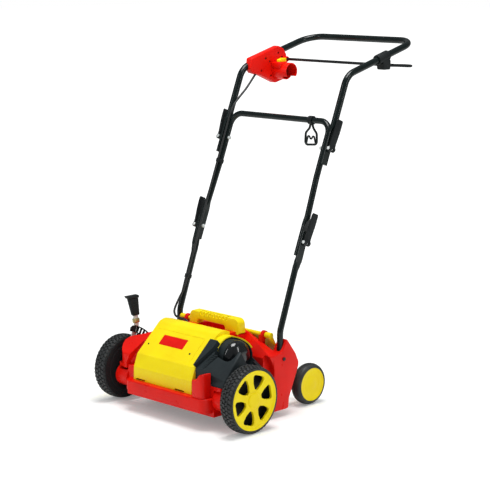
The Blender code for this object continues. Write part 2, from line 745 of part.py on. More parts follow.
def make_hood():
    profile = [(HOOD_FRONT_Y, HOOD_BASE_Z), (CREASE_Y, CREASE_Z), (BROW_Y, BROW_Z),
               (CROWN_Y - 0.015, CROWN_Z - 0.003), (CROWN_Y, CROWN_Z), (HOOD_REAR_Y, HOOD_REAR_Z),
               (HOOD_REAR_Y, HOOD_BASE_Z)]
    body = bevelled(along_x(profile, HOOD_LEFT_X, HOOD_RIGHT_X), 0.004, 1, 25)
    arch = rod_x(HOOD_RIGHT_X - WALL, ARCH_END_X, MOTOR_Y, MOTOR_Z, DRUM_R + DRUM_CLEAR + ARCH_WALL, FINE)
    below = cut(arch, box(0, 0.3, -0.1, 0.3, 0, MOTOR_Z - 0.022))
    body = join(body, below, flare(0))
    hollow = inset(profile, WALL)
    hollow[0] = (hollow[0][0] - 0.0043, HOOD_BASE_Z - 0.02)
    hollow[-2] = (HOOD_REAR_Y + 0.01, hollow[-2][1])
    hollow[-1] = (HOOD_REAR_Y + 0.01, HOOD_BASE_Z - 0.02)
    cuts = [along_x(hollow, HOOD_LEFT_X + WALL, HOOD_RIGHT_X - WALL),
            box(-0.3, 0.3, DECK_FRONT_Y - GAP, 0.3, 0.0, DECK_TOP_Z + GAP),
            rod_x(HOOD_RIGHT_X, 0.3, MOTOR_Y, MOTOR_Z, bore_r(DRUM_R, DRUM_CLEAR, FINE), FINE),
            rod_x(HOOD_RIGHT_X - 0.01, HOOD_RIGHT_X + 0.01, MOTOR_Y, MOTOR_Z, 0.030, MEDIUM),
            rod_x(HOOD_LEFT_X - 0.01, HOOD_LEFT_X + 0.01, MOTOR_Y, MOTOR_Z, 0.010),
            tunnel_space(GAP),
            slope_block(PLATE_X - PLATE_LENGTH / 2 - GAP, PLATE_X + PLATE_LENGTH / 2 + GAP,
                        PLATE_UP - PLATE_WIDTH / 2 - GAP, PLATE_UP + PLATE_WIDTH / 2 + GAP,
                        PLATE_THICK + GAP, 0.01)]
    for x in HOOD_SCREW_X:
        cuts.append(rod(on_slope(x, HOOD_SCREW_UP, -0.01), on_slope(x, HOOD_SCREW_UP, 0.01),
                        bore_r(0.0022, GAP, COARSE)))
        cuts.append(rod(on_slope(x, HOOD_SCREW_UP, -0.0013), on_slope(x, HOOD_SCREW_UP, 0.01),
                        bore_r(0.0045, GAP, COARSE)))
    for x in HOOD_SLOT_X:
        cuts.append(box(x - 0.020, x + 0.020, HOOD_FRONT_Y - 0.01, HOOD_FRONT_Y + 0.0025, HOOD_BASE_Z + 0.002,
                        HOOD_BASE_Z + 0.0055))
    return cut(body, *cuts)


def make_hood_plate():
    return bevelled(slope_block(PLATE_X - PLATE_LENGTH / 2, PLATE_X + PLATE_LENGTH / 2,
                                PLATE_UP - PLATE_WIDTH / 2, PLATE_UP + PLATE_WIDTH / 2, PLATE_THICK, 0.0),
                    0.0003)


# Drive cover and motor

def cover_block(wall):
    left = [(DECK_FRONT_Y, COVER_BASE_Z), (DECK_FRONT_Y, CREASE_Z), (0.000, slope_z(0.0)), (0.045, 0.240),
            (COVER_REAR_Y, 0.222), (COVER_REAR_Y, COVER_BASE_Z)]
    right = [(DECK_FRONT_Y, COVER_BASE_Z), (-0.045, 0.150), (-0.013, 0.186), (0.024, 0.224),
             (COVER_REAR_Y, 0.192), (COVER_REAR_Y, COVER_BASE_Z)]
    if wall:
        left = inset(left, wall)
        right = inset(right, wall)
        for outline in (left, right):
            outline[0] = (outline[0][0], COVER_BASE_Z - 0.02)
            outline[-1] = (outline[-1][0], COVER_BASE_Z - 0.02)
    block = lofted([(COVER_IN_X + wall, y, z) for y, z in left],
                   [(COVER_OUT_X - wall, y, z) for y, z in right])
    bmesh.ops.triangulate(block, faces=block.faces)
    return block


def make_cover():
    end = DOME_END_X + 0.003
    cradle = rod_x(COVER_IN_X - 0.01, end, MOTOR_Y, MOTOR_Z, bore_r(DRUM_R, DRUM_CLEAR, FINE), FINE)
    sleeve = rod_x(COVER_IN_X - 0.02, end + WALL, MOTOR_Y, MOTOR_Z,
                   bore_r(DRUM_R + DRUM_CLEAR, WALL, FINE), FINE)
    arch = rod_x(COVER_IN_X - 0.01, ARCH_END_X + GAP, MOTOR_Y, MOTOR_Z,
                 bore_r(DRUM_R + DRUM_CLEAR + ARCH_WALL, GAP, FINE), FINE)
    sleeve = join(sleeve, rod_x(COVER_IN_X - 0.02, ARCH_END_X + GAP + WALL, MOTOR_Y, MOTOR_Z,
                                bore_r(DRUM_R + DRUM_CLEAR + ARCH_WALL, GAP + WALL, FINE), FINE))
    hollow = cut(cover_block(WALL), sleeve)
    return cut(cover_block(0), hollow, cradle, arch, flare(GAP), tunnel_space(GAP))


def make_motor_end():
    """The glossy end of the motor: a short drum closed by a dome, open on its left."""
    def skin(inwards):
        radius = DRUM_R - inwards
        length = DOME_END_X - DRUM_OUT_X - inwards
        return [(DRUM_OUT_X + length * math.sin(a), radius * math.cos(a))
                for a in (math.radians(90 * i / 4) for i in range(5))]
    outer = skin(0)
    inner = skin(WALL)
    outer[-1] = (DOME_END_X, 0)
    inner[-1] = (DOME_END_X - WALL, 0)
    left = HOOD_RIGHT_X + GAP
    profile = [(left, DRUM_R - WALL), (left, DRUM_R)] + outer + list(reversed(inner))
    return turned(profile, MOTOR_Y, MOTOR_Z, FINE)


def make_motor_housing():
    body = rod_x(MOTOR_LEFT_X, MOTOR_RIGHT_X, MOTOR_Y, MOTOR_Z, MOTOR_R, MEDIUM)
    feet = [box(x - 0.010, x + 0.010, MOTOR_Y - 0.032, MOTOR_Y + 0.006, DECK_TOP_Z + GAP, MOTOR_Z - 0.025)
            for x in MOTOR_FEET_X]
    bore = rod_x(MOTOR_LEFT_X - 0.01, MOTOR_LEFT_X + MOTOR_SHAFT_IN + 0.002, MOTOR_Y, MOTOR_Z,
                 bore_r(MOTOR_SHAFT_R, RUN, COARSE))
    return cut(join(body, *feet), bore)


def make_motor_shaft():
    shaft = rod_x(-BELT_X - 0.012, MOTOR_LEFT_X + MOTOR_SHAFT_IN, MOTOR_Y, MOTOR_Z, MOTOR_SHAFT_R)
    pulley = turned([(-BELT_X - 0.0062, 0.001), (-BELT_X - 0.0062, MOTOR_PULLEY_R + 0.002),
                     (-BELT_X - 0.0045, MOTOR_PULLEY_R + 0.002), (-BELT_X - 0.0045, MOTOR_PULLEY_R),
                     (-BELT_X + 0.0045, MOTOR_PULLEY_R), (-BELT_X + 0.0045, MOTOR_PULLEY_R + 0.002),
                     (-BELT_X + 0.0062, MOTOR_PULLEY_R + 0.002), (-BELT_X + 0.0062, 0.001)],
                    MOTOR_Y, MOTOR_Z, COARSE)
    return join(pulley, shaft)


def belt_loop(extra):
    """The belt's outline round both pulleys, a distance outside their grooves."""
    small = Vector((MOTOR_Y, MOTOR_Z))
    large = Vector((ROTOR_Y, ROTOR_Z))
    run = large - small
    heading = math.degrees(math.atan2(run.y, run.x))
    lean = math.degrees(math.acos((ROTOR_PULLEY_R - MOTOR_PULLEY_R) / run.length))
    turn = 180 - lean
    near = arc(*small, MOTOR_PULLEY_R + extra, heading + turn, heading + 360 - turn, 5)
    far = arc(*large, ROTOR_PULLEY_R + extra, heading - turn, heading + turn, 10)
    return near + far


def make_belt():
    half = BELT_WIDTH / 2
    inner = belt_loop(BELT_CLEAR)
    outer = belt_loop(BELT_CLEAR + BELT_THICK)
    return cut(along_x(outer, -BELT_X - half, -BELT_X + half), along_x(inner, -BELT_X - 0.02, -BELT_X + 0.02))


# Tine rotor

def make_rotor_shaft():
    return rod_x(-BELT_X - 0.012, TUNNEL_HALF + 0.004, ROTOR_Y, ROTOR_Z, ROTOR_SHAFT_R, MEDIUM)


def make_rotor_pulley():
    bore = bore_r(ROTOR_SHAFT_R, GAP, MEDIUM)
    rim = ROTOR_PULLEY_R + 0.002
    return turned([(-BELT_X - 0.0062, bore), (-BELT_X - 0.0062, rim), (-BELT_X - 0.0045, rim),
                   (-BELT_X - 0.0045, ROTOR_PULLEY_R), (-BELT_X + 0.0045, ROTOR_PULLEY_R),
                   (-BELT_X + 0.0045, rim), (-BELT_X + 0.0062, rim), (-BELT_X + 0.0062, bore)],
                  ROTOR_Y, ROTOR_Z, MEDIUM)


def make_tines():
    """Four-pointed blades along a sleeve, each turned a little against the last."""
    reach = (TINES - 1) / 2 * TINE_PITCH + TINE_THICK / 2 + 0.002
    sleeve = rod_x(-reach, reach, ROTOR_Y, ROTOR_Z, SPACER_R)
    blades = []
    for k in range(TINES):
        x = (k - (TINES - 1) / 2) * TINE_PITCH
        outline = []
        for tip in range(4):
            a = math.radians(90 * tip + TINE_STAGGER * k)
            for radius, offset in ((TINE_ROOT_R, -22), (TINE_R, -3), (TINE_ROOT_R + 0.004, 18)):
                b = a + math.radians(offset)
                outline.append((ROTOR_Y + radius * math.cos(b), ROTOR_Z + radius * math.sin(b)))
        blades.append(along_x(outline, x - TINE_THICK / 2, x + TINE_THICK / 2))
    bore = rod_x(-reach - 0.01, reach + 0.01, ROTOR_Y, ROTOR_Z, bore_r(ROTOR_SHAFT_R, GAP, COARSE))
    return cut(join(sleeve, together(*blades)), bore)


def make_tunnel():
    def shell(radius, half, base_z):
        side = arc(ROTOR_Y, ROTOR_Z, radius, 0, 180, FINE // 2)
        return along_x(side + [(ROTOR_Y - radius, base_z), (ROTOR_Y + radius, base_z)], -half, half)
    body = shell(TUNNEL_R + WALL, TUNNEL_HALF, 0.030)
    cuts = [shell(TUNNEL_R, TUNNEL_HALF - WALL, 0.010),
            box(-TUNNEL_HALF + WALL, TUNNEL_HALF - WALL, 0.150, 0.250, 0.0, 0.112),
            rod_x(-0.2, 0.2, ROTOR_Y, ROTOR_Z, bore_r(BEARING_R, GAP, MEDIUM), MEDIUM)]
    return cut(body, *cuts)


def make_bearing(side):
    x = side * (TUNNEL_HALF - WALL / 2)
    return ring_x(x - BEARING_WIDTH / 2, x + BEARING_WIDTH / 2, ROTOR_Y, ROTOR_Z, BEARING_R,
                  bore_r(ROTOR_SHAFT_R, RUN, MEDIUM), MEDIUM)


# Wheels and axles

def make_front_tyre(side):
    half = FRONT_WIDTH / 2 - 0.0005
    x = side * (FRONT_OUTER_X - FRONT_WIDTH / 2)
    inner = RIM_R + GAP
    profile = [(x - half, inner), (x - half, FRONT_R - 0.006), (x - half + 0.002, FRONT_R - 0.002),
               (x - half + 0.006, FRONT_R), (x + half - 0.006, FRONT_R),
               (x + half - 0.002, FRONT_R - 0.002), (x + half, FRONT_R - 0.006), (x + half, inner)]
    return turned(profile, 0.0, FRONT_R, WHEEL)


def make_front_rim(side):
    """A rim with a dished disc, six openings between its spokes, and a hub on the axle stub."""
    out = FRONT_OUTER_X
    back = out - FRONT_WIDTH
    face = out - RIM_DISH
    band = RIM_R - RIM_BAND
    profile = [(back, HUB_R), (face - RIM_DISC, HUB_R), (face - RIM_DISC, band), (back, band + 0.0042),
               (back, RIM_R), (out, RIM_R), (out, RIM_R - 0.0035), (face, band), (face, 0.0), (back, 0.0)]
    body = turned([(side * x, radius) for x, radius in profile], 0.0, FRONT_R, WHEEL)
    cuts = [rod_x(side * (back - 0.01), side * (FRONT_OUTER_X - 0.010), 0.0, FRONT_R,
                  bore_r(STUB_R, RUN, COARSE)),
            rod_x(side * (face - CAP_SINK), side * (face + 0.02), 0.0, FRONT_R,
                  bore_r(CAP_R, GAP, MEDIUM), MEDIUM)]
    for k in range(OPENINGS):
        middle = OPENING_TURN + 360 / OPENINGS * k
        outline = arc(0.0, FRONT_R, OPENING_OUT_R, middle - 15.5, middle + 15.5, 3)
        outline.append(polar(0.0, FRONT_R, OPENING_IN_R + 0.012, middle + 17))
        outline += arc(0.0, FRONT_R, OPENING_IN_R, middle + 8, middle - 8, 1)
        outline.append(polar(0.0, FRONT_R, OPENING_IN_R + 0.012, middle - 17))
        cuts.append(along_x(outline, side * (face - RIM_DISC - 0.01), side * (out + 0.01)))
    return cut(body, *cuts)


def make_hub_cap(side):
    face = FRONT_OUTER_X - RIM_DISH
    back = face - CAP_SINK + GAP
    profile = [(back, 0.0), (back, CAP_R), (face + 0.0015, CAP_R), (FRONT_OUTER_X - 0.0002, CAP_R - 0.004),
               (FRONT_OUTER_X - 0.0002, 0.0)]
    return turned([(side * x, radius) for x, radius in profile], 0.0, FRONT_R, MEDIUM)


def make_front_axle():
    """The bar across the deck, with a crank and a wheel stub at each end."""
    parts = [rod_x(-CRANK_X - 0.001, CRANK_X + 0.001, PIVOT_Y, PIVOT_Z, AXLE_R, MEDIUM)]
    along = Vector((0 - PIVOT_Y, FRONT_R - PIVOT_Z)).normalized()
    across = Vector((-along.y, along.x)) * CRANK_HALF
    start, end = Vector((PIVOT_Y, PIVOT_Z)), Vector((0, FRONT_R))
    for side in (1, -1):
        reach = [side * CRANK_X, side * (CRANK_X + CRANK_THICK)]
        parts.append(along_x([start - across, end - across, end + across, start + across], *reach))
        parts.append(rod_x(*reach, PIVOT_Y, PIVOT_Z, CRANK_HALF, MEDIUM))
        parts.append(rod_x(*reach, 0, FRONT_R, CRANK_HALF, MEDIUM))
        parts.append(rod_x(side * (CRANK_X + 0.001), side * (FRONT_OUTER_X - 0.0115), 0, FRONT_R, STUB_R))
    return join(*parts)


def make_rear_axle():
    reach = REAR_OUTER_X - 0.008
    return rod_x(-reach, reach, REAR_AXLE_Y, REAR_AXLE_Z, REAR_AXLE_R)


def make_rear_tyre(side):
    half = REAR_WIDTH / 2 - 0.0005
    x = side * (REAR_OUTER_X - REAR_WIDTH / 2)
    inner = REAR_DISC_R + GAP
    profile = [(x - half, inner)]
    for i in range(5):
        a = math.radians(180 - 45 * i)
        profile.append((x + (half - 0.0001) * math.cos(a), REAR_R - 0.010 + 0.010 * math.sin(a)))
    profile.append((x + half, inner))
    return turned(profile, REAR_AXLE_Y, REAR_AXLE_Z, WHEEL)


def make_rear_disc(side):
    out = REAR_OUTER_X
    back = out - REAR_WIDTH
    profile = [(back, 0.011), (out - 0.006, 0.011), (out - 0.006, REAR_DISC_R - 0.004),
               (back, REAR_DISC_R - 0.002), (back, REAR_DISC_R), (out - 0.001, REAR_DISC_R),
               (out - 0.0022, REAR_DISC_R - 0.006), (out - 0.0032, 0.0), (back, 0.0)]
    body = turned([(side * x, radius) for x, radius in profile], REAR_AXLE_Y, REAR_AXLE_Z, WHEEL)
    return cut(body, rod_x(side * (back - 0.01), side * (out - 0.007), REAR_AXLE_Y, REAR_AXLE_Z,
                           bore_r(REAR_AXLE_R, RUN, COARSE)))


# Depth lever

def lever_point(radius, offset=0.0):
    """A (y, z) point on the depth lever's middle line, a distance from the pivot."""
    a = math.radians(LEVER_TURN)
    along = Vector((math.sin(a), math.cos(a)))
    across = Vector((math.cos(a), -math.sin(a)))
    return Vector((PIVOT_Y, PIVOT_Z)) + along * radius + across * offset


def lever_line(z):
    """Middle of the leaning part of the lever at a height."""
    bend = lever_point(LEVER_BEND_R)
    share = (z - bend.y) / (LEVER_TOP_Z - bend.y)
    x = -(CRANK_X - GAP) + LEVER_THICK / 2 - LEVER_LEAN_X * share
    return Vector((x, bend.x + 0.0048 * share, z))


def leaning_block(levels):
    """A block round the lever's leaning line, from (height, half depth in y, half thickness in x)."""
    rings = []
    for z, half_y, half_x in levels:
        corners = ((-1, -1), (1, -1), (1, 1), (-1, 1))
        rings.append([lever_line(z) + Vector((sx * half_x, sy * half_y, 0)) for sx, sy in corners])
    block = lofted(*rings)
    bmesh.ops.triangulate(block, faces=block.faces)
    return block


def lever_bar(low_z, high_z, grown):
    """The leaning bar, or with a clearance the space for it in the grip and the collar."""
    half_y, half_x = LEVER_HALF + grown, LEVER_THICK / 2 + grown
    return leaning_block([(low_z, half_y, half_x), (high_z + grown, half_y, half_x)])


def make_lever_shank():
    """A flat bar from the axle up to a bend, then leaning outwards into the grip."""
    near = -(CRANK_X - GAP)
    far = near + LEVER_THICK
    low = [lever_point(0.0, s * LEVER_HALF * 1.2) for s in (-1, 1)]
    high = [lever_point(LEVER_BEND_R + 0.0015, s * LEVER_HALF) for s in (-1, 1)]
    plate = along_x([low[0], low[1], high[1], high[0]], near, far)
    eye = rod_x(near, far, PIVOT_Y, PIVOT_Z, LEVER_EYE_R, MEDIUM)
    bend_z = lever_point(LEVER_BEND_R).y
    body = join(plate, eye, lever_bar(bend_z - 0.001, LEVER_TOP_Z - GRIP_CAP, 0))
    return cut(body, rod_x(near - 0.01, far + 0.01, PIVOT_Y, PIVOT_Z, bore_r(AXLE_R, GAP, MEDIUM), MEDIUM))


def make_lever_grip():
    """A tapered grip with a lip round its top, pushed onto the bar."""
    base_z = LEVER_TOP_Z - GRIP_LENGTH
    grip = leaning_block([(base_z, 0.0115, 0.0065), (LEVER_TOP_Z - 0.008, 0.0160, 0.0080)])
    lip = leaning_block([(LEVER_TOP_Z - 0.009, 0.0185, 0.0095), (LEVER_TOP_Z, 0.0185, 0.0095)])
    grip = bevelled(join(grip, lip), 0.0018, 2, 35)
    return cut(grip, lever_bar(base_z - 0.02, LEVER_TOP_Z - GRIP_CAP, GAP))


def make_lever_collar():
    """The brass coloured sleeve round the bar, below the grip."""
    collar = leaning_block([(COLLAR_Z, 0.0120, 0.0048), (COLLAR_Z + 0.014, 0.0120, 0.0048)])
    return cut(bevelled(collar, 0.001, 1, 35), lever_bar(COLLAR_Z - 0.02, COLLAR_Z + 0.05, GAP))


def make_quadrant():
    """The notched plate beside the depth lever, fixed to the deck's side."""
    outline = arc(PIVOT_Y, PIVOT_Z, QUADRANT_OUT_R, 90 - QUADRANT_END, 90 - QUADRANT_START, 12)
    outline += arc(PIVOT_Y, PIVOT_Z, QUADRANT_IN_R, 90 - QUADRANT_START, 90 - QUADRANT_END, 8)
    plate = along_x(outline, -DECK_HALF - GAP - QUADRANT_THICK, -DECK_HALF - GAP)
    windows = []
    for k in range(NOTCHES):
        middle = 90 - LEVER_TURN - NOTCH_PITCH * k
        outline = arc(PIVOT_Y, PIVOT_Z, QUADRANT_OUT_R - 0.004, middle - 1.6, middle + 1.6, 2)
        outline += arc(PIVOT_Y, PIVOT_Z, QUADRANT_OUT_R - 0.020, middle + 1.6, middle - 1.6, 2)
        windows.append(along_x(outline, -0.3, -0.2))
    return cut(plate, *windows)


# Rear flap and carry handle

def make_flap():
    """The flap over the rear outlet, with the barrel that it turns on."""
    down = Vector((FLAP_END_Y - FLAP_HINGE_Y, FLAP_END_Z - FLAP_HINGE_Z)).normalized()
    out = Vector((-down.y, down.x))
    start = Vector((FLAP_HINGE_Y, FLAP_HINGE_Z)) + out * 0.0015
    end = Vector((FLAP_END_Y, FLAP_END_Z)) + out * 0.0015
    lip = end + Vector((0.006, -0.004))
    panel = along_x([start, end, lip, lip - out * WALL * 1.2, end - out * WALL, start - out * WALL],
                    -FLAP_HALF, FLAP_HALF)
    for side in (1, -1):
        rings = rod_x(side * (FLAP_RING_X - FLAP_RING_WIDTH / 2 - 0.0012),
                      side * (FLAP_RING_X + FLAP_RING_WIDTH / 2 + 0.0012), FLAP_HINGE_Y, FLAP_HINGE_Z,
                      bore_r(FLAP_RING_R, 0.0015, MEDIUM), MEDIUM)
        panel = cut(panel, rings)
    middle = start - out * 0.0015
    parts = [rod_x(-FLAP_ARM_X, FLAP_ARM_X, FLAP_HINGE_Y, FLAP_HINGE_Z, FLAP_BARREL_R, 12)]
    for side in (1, -1):
        x = side * (FLAP_ARM_X - FLAP_ARM_R + 0.003)
        parts.append(rod((x, *(middle - down * 0.002)), (x, *(middle + down * 0.045)), FLAP_ARM_R, 8, 0.0045))
        parts.append(rod_x(side * (FLAP_RING_X + FLAP_RING_WIDTH / 2 + 0.0012), side * (FLAP_ARM_X + 0.0028),
                           FLAP_HINGE_Y, FLAP_HINGE_Z, FLAP_ARM_R + 0.001))
    return join(panel, *parts)


def make_carry_handle():
    """A moulded arch over the finger well, with ridges on its top."""
    half = CARRY_HALF
    top = CARRY_TOP_Z - RIDGE_HEIGHT
    outline = [(-half, SADDLE_TOP_Z - 0.01), (-half, top - 0.014), (-half + 0.014, top), (half - 0.014, top),
               (half, top - 0.014), (half, SADDLE_TOP_Z - 0.01)]
    arch = bevelled(along_y(outline, CARRY_Y - CARRY_DEPTH / 2, CARRY_Y + CARRY_DEPTH / 2), 0.005, 2, 20)
    under = top - CARRY_BAR + RIDGE_HEIGHT
    hole = box(-WELL_HALF, WELL_HALF - 0.006, CARRY_Y - 0.1, CARRY_Y + 0.1, SADDLE_TOP_Z - 0.05, under)
    hole = bevelled(hole, 0.008, 2, 50)
    foot = along_y([(x, z + GAP) for x, z in saddle_outline()], CARRY_Y - 0.1, CARRY_Y + 0.1)
    body = cut(arch, hole, foot)
    ridges = []
    for k in range(CARRY_RIDGES):
        x = -0.0025 + (k - (CARRY_RIDGES - 1) / 2) * 0.0145
        ridges.append(box(x - 0.004, x + 0.004, CARRY_Y - 0.0092, CARRY_Y + 0.0092, top - 0.003, CARRY_TOP_Z))
    return join(body, *ridges)


# Tube handle

def bolt_hole(y, z, side):
    """The hole for a clamp's bolt through both tubes of a joint."""
    return rod_x(side * (FLAT_X - 0.028), side * (FLAT_X + 0.022), y, z, bore_r(BOLT_R, RUN, COARSE))


def lower_direction():
    base = Vector((SOCKET_Y, SOCKET_BEND_Z))
    return (Vector(LOWER_JOINT) - base).normalized()


def upper_direction():
    return (Vector(UPPER_JOINT) - Vector(LOWER_JOINT)).normalized()


def handle_direction():
    """Along the upper handle's legs, from the joint to the bend at the arms."""
    return (Vector(LEG_TOP) - Vector(UPPER_JOINT)).normalized()


def flat_centre():
    """Distance of an outer tube's middle from the middle plane where it is pressed flat."""
    return FLAT_X + FLAT_THICK / 2


def make_lower_tube(side):
    joint = Vector(LOWER_JOINT)
    way = lower_direction()
    path = filleted([(side * LOWER_X, SOCKET_Y, SOCKET_BASE_Z), (side * LOWER_X, SOCKET_Y, SOCKET_BEND_Z),
                     (side * LOWER_X, *(joint - way * 0.085))], [0.060], 3)
    path += [Vector((side * flat_centre(), *(joint - way * FLAT_REACH))),
             Vector((side * flat_centre(), *(joint + way * 0.034)))]
    flats = [0.0] * (len(path) - 2) + [1.0, 1.0]
    tube = pipe(path, flats, (1, 0, 0), LOWER_TUBE_R)
    socket_bolt = rod_x(side * (LOWER_X - 0.02), side * (LOWER_X + 0.03), SOCKET_Y, SOCKET_BOLT_Z,
                        bore_r(BOLT_R, GAP, COARSE))
    return cut(tube, bolt_hole(*LOWER_JOINT, side), socket_bolt)


def make_middle_handle():
    joint = Vector(LOWER_JOINT)
    way = upper_direction()
    inner = FLAT_X - GAP - FLAT_THICK / 2
    ends = [((inner, joint - way * 0.043), 1.0), ((inner, joint + way * FLAT_REACH), 1.0),
            ((inner, joint + way * 0.078), 0.0)]
    right = [Vector((x, *point)) for (x, point), _ in ends]
    left = [Vector((-v.x, v.y, v.z)) for v in reversed(right)]
    bend = joint + way * 0.200
    corners = [right[-1], (MIDDLE_TOP_X, *bend), (MIDDLE_TOP_X, *CROSSBAR), (-MIDDLE_TOP_X, *CROSSBAR),
               (-MIDDLE_TOP_X, *bend), left[0]]
    path = right[:-1] + filleted(corners, [0, CROSS_CORNER, CROSS_CORNER, 0], 4) + left[1:]
    flats = [1.0, 1.0] + [0.0] * (len(path) - 4) + [1.0, 1.0]
    tube = pipe(path, flats, (1, 0, 0), LOWER_TUBE_R)
    holes = []
    for side in (1, -1):
        holes.append(bolt_hole(*LOWER_JOINT, side))
        holes.append(bolt_hole(*UPPER_JOINT, side))
    return cut(tube, *holes)


def make_upper_handle():
    joint = Vector(UPPER_JOINT)
    way = handle_direction()
    right = [Vector((flat_centre(), *(joint - way * 0.050))),
             Vector((flat_centre(), *(joint + way * FLAT_REACH))),
             Vector((UPPER_X, *(joint + way * 0.075)))]
    left = [Vector((-v.x, v.y, v.z)) for v in reversed(right)]
    corners = [right[-1], (UPPER_X, *LEG_TOP), (UPPER_X, *TOP_BAR), (-UPPER_X, *TOP_BAR),
               (-UPPER_X, *LEG_TOP), left[0]]
    path = right[:-1] + filleted(corners, [ARM_BEND, TOP_BEND, TOP_BEND, ARM_BEND], 3) + left[1:]
    flats = [1.0, 1.0] + [0.0] * (len(path) - 4) + [1.0, 1.0]
    tube = pipe(path, flats, (1, 0, 0), UPPER_TUBE_R)
    return cut(tube, *[bolt_hole(*UPPER_JOINT, side) for side in (1, -1)])


def cam_x():
    """Distance of the clamp levers' pins from the middle plane."""
    return FLAT_X + FLAT_THICK + RUN + CAM_R / math.cos(math.pi / MEDIUM)


def make_cam_lever(side, joint, way):
    """A flat lever with two cheeks on the bolt's cross pin."""
    along = Vector((0, *way)).normalized()
    across = Vector((0, along.z, -along.y))
    centre = Vector((side * cam_x(), *joint))
    parts = []
    for s in (1, -1):
        parts.append(rod(centre + across * s * EYE_HALF_CLEAR, centre + across * s * (EYE_HALF_CLEAR + CHEEK),
                         CAM_R, MEDIUM))
    half = EYE_HALF_CLEAR + CHEEK - 0.0004
    out = Vector((side, 0, 0))
    rings = []
    for reach, width, low, high in ((0.0070, half, 0.0010, 0.0078), (0.026, half, 0.0010, 0.0078),
                                    (LEVER_LENGTH - 0.010, half * 0.85, 0.0030, 0.0090),
                                    (LEVER_LENGTH, half * 0.7, 0.0045, 0.0090)):
        rings.append([centre + along * reach + across * s * width + out * h
                      for s, h in ((-1, low), (1, low), (1, high), (-1, high))])
    lever = join(lofted(*rings), *parts)
    pin = rod(centre - across * 0.02, centre + across * 0.02, bore_r(PIN_ROD_R, RUN, COARSE))
    return cut(lever, pin)


def make_joint_bolt(side, joint, way, inner_x):
    """The clamp's bolt with its nut, and the eye and cross pin that the lever turns on."""
    along = Vector((0, *way)).normalized()
    across = Vector((0, along.z, -along.y))
    centre = Vector((side * cam_x(), *joint))
    shank = rod_x(side * (inner_x - NUT_LENGTH - 0.001), side * cam_x(), *joint, BOLT_R)
    nut = rod_x(side * (inner_x - GAP - NUT_LENGTH), side * (inner_x - GAP), *joint, NUT_R, 6)
    eye = rod(centre - across * EYE_HALF, centre + across * EYE_HALF, EYE_R)
    reach = EYE_HALF_CLEAR + CHEEK + 0.001
    pin = rod(centre - across * reach, centre + across * reach, PIN_ROD_R)
    return join(eye, shank, pin, nut)


def make_socket_bolt(side):
    """The bolt that holds a handle tube in its socket."""
    shank = rod_x(side * (LOWER_X - 0.014), side * (DECK_HALF + GAP + 0.001), SOCKET_Y, SOCKET_BOLT_Z, BOLT_R)
    head = rod_x(side * (DECK_HALF + GAP), side * (DECK_HALF + GAP + 0.003), SOCKET_Y, SOCKET_BOLT_Z, 0.0055)
    return join(head, shank)


# Switch box, bail and cable

def arm_point(y):
    """Height of the upper handle's arm at a distance to the rear."""
    return LEG_TOP[1] + (y - LEG_TOP[0]) * (TOP_BAR[1] - LEG_TOP[1]) / (TOP_BAR[0] - LEG_TOP[0])


def arm_tube(side, y0, y1, radius):
    return tube_in_yz(side * UPPER_X, (y0, arm_point(y0)), (y1, arm_point(y1)), radius, MEDIUM)


def box_outline():
    return [(0.496, 1.034), (0.624, 1.070), (0.647, 1.060), (0.662, 1.040), (0.662, 1.012), (0.658, 0.962),
            (0.610, 0.950), (0.545, 0.976), (0.503, 0.987), (0.492, 1.000)]


def box_hollow():
    return [(0.535, 1.006), (0.600, 1.024), (0.634, 1.030), (0.640, 1.010), (0.640, 0.972), (0.612, 0.962),
            (0.560, 0.982), (0.535, 0.990)]


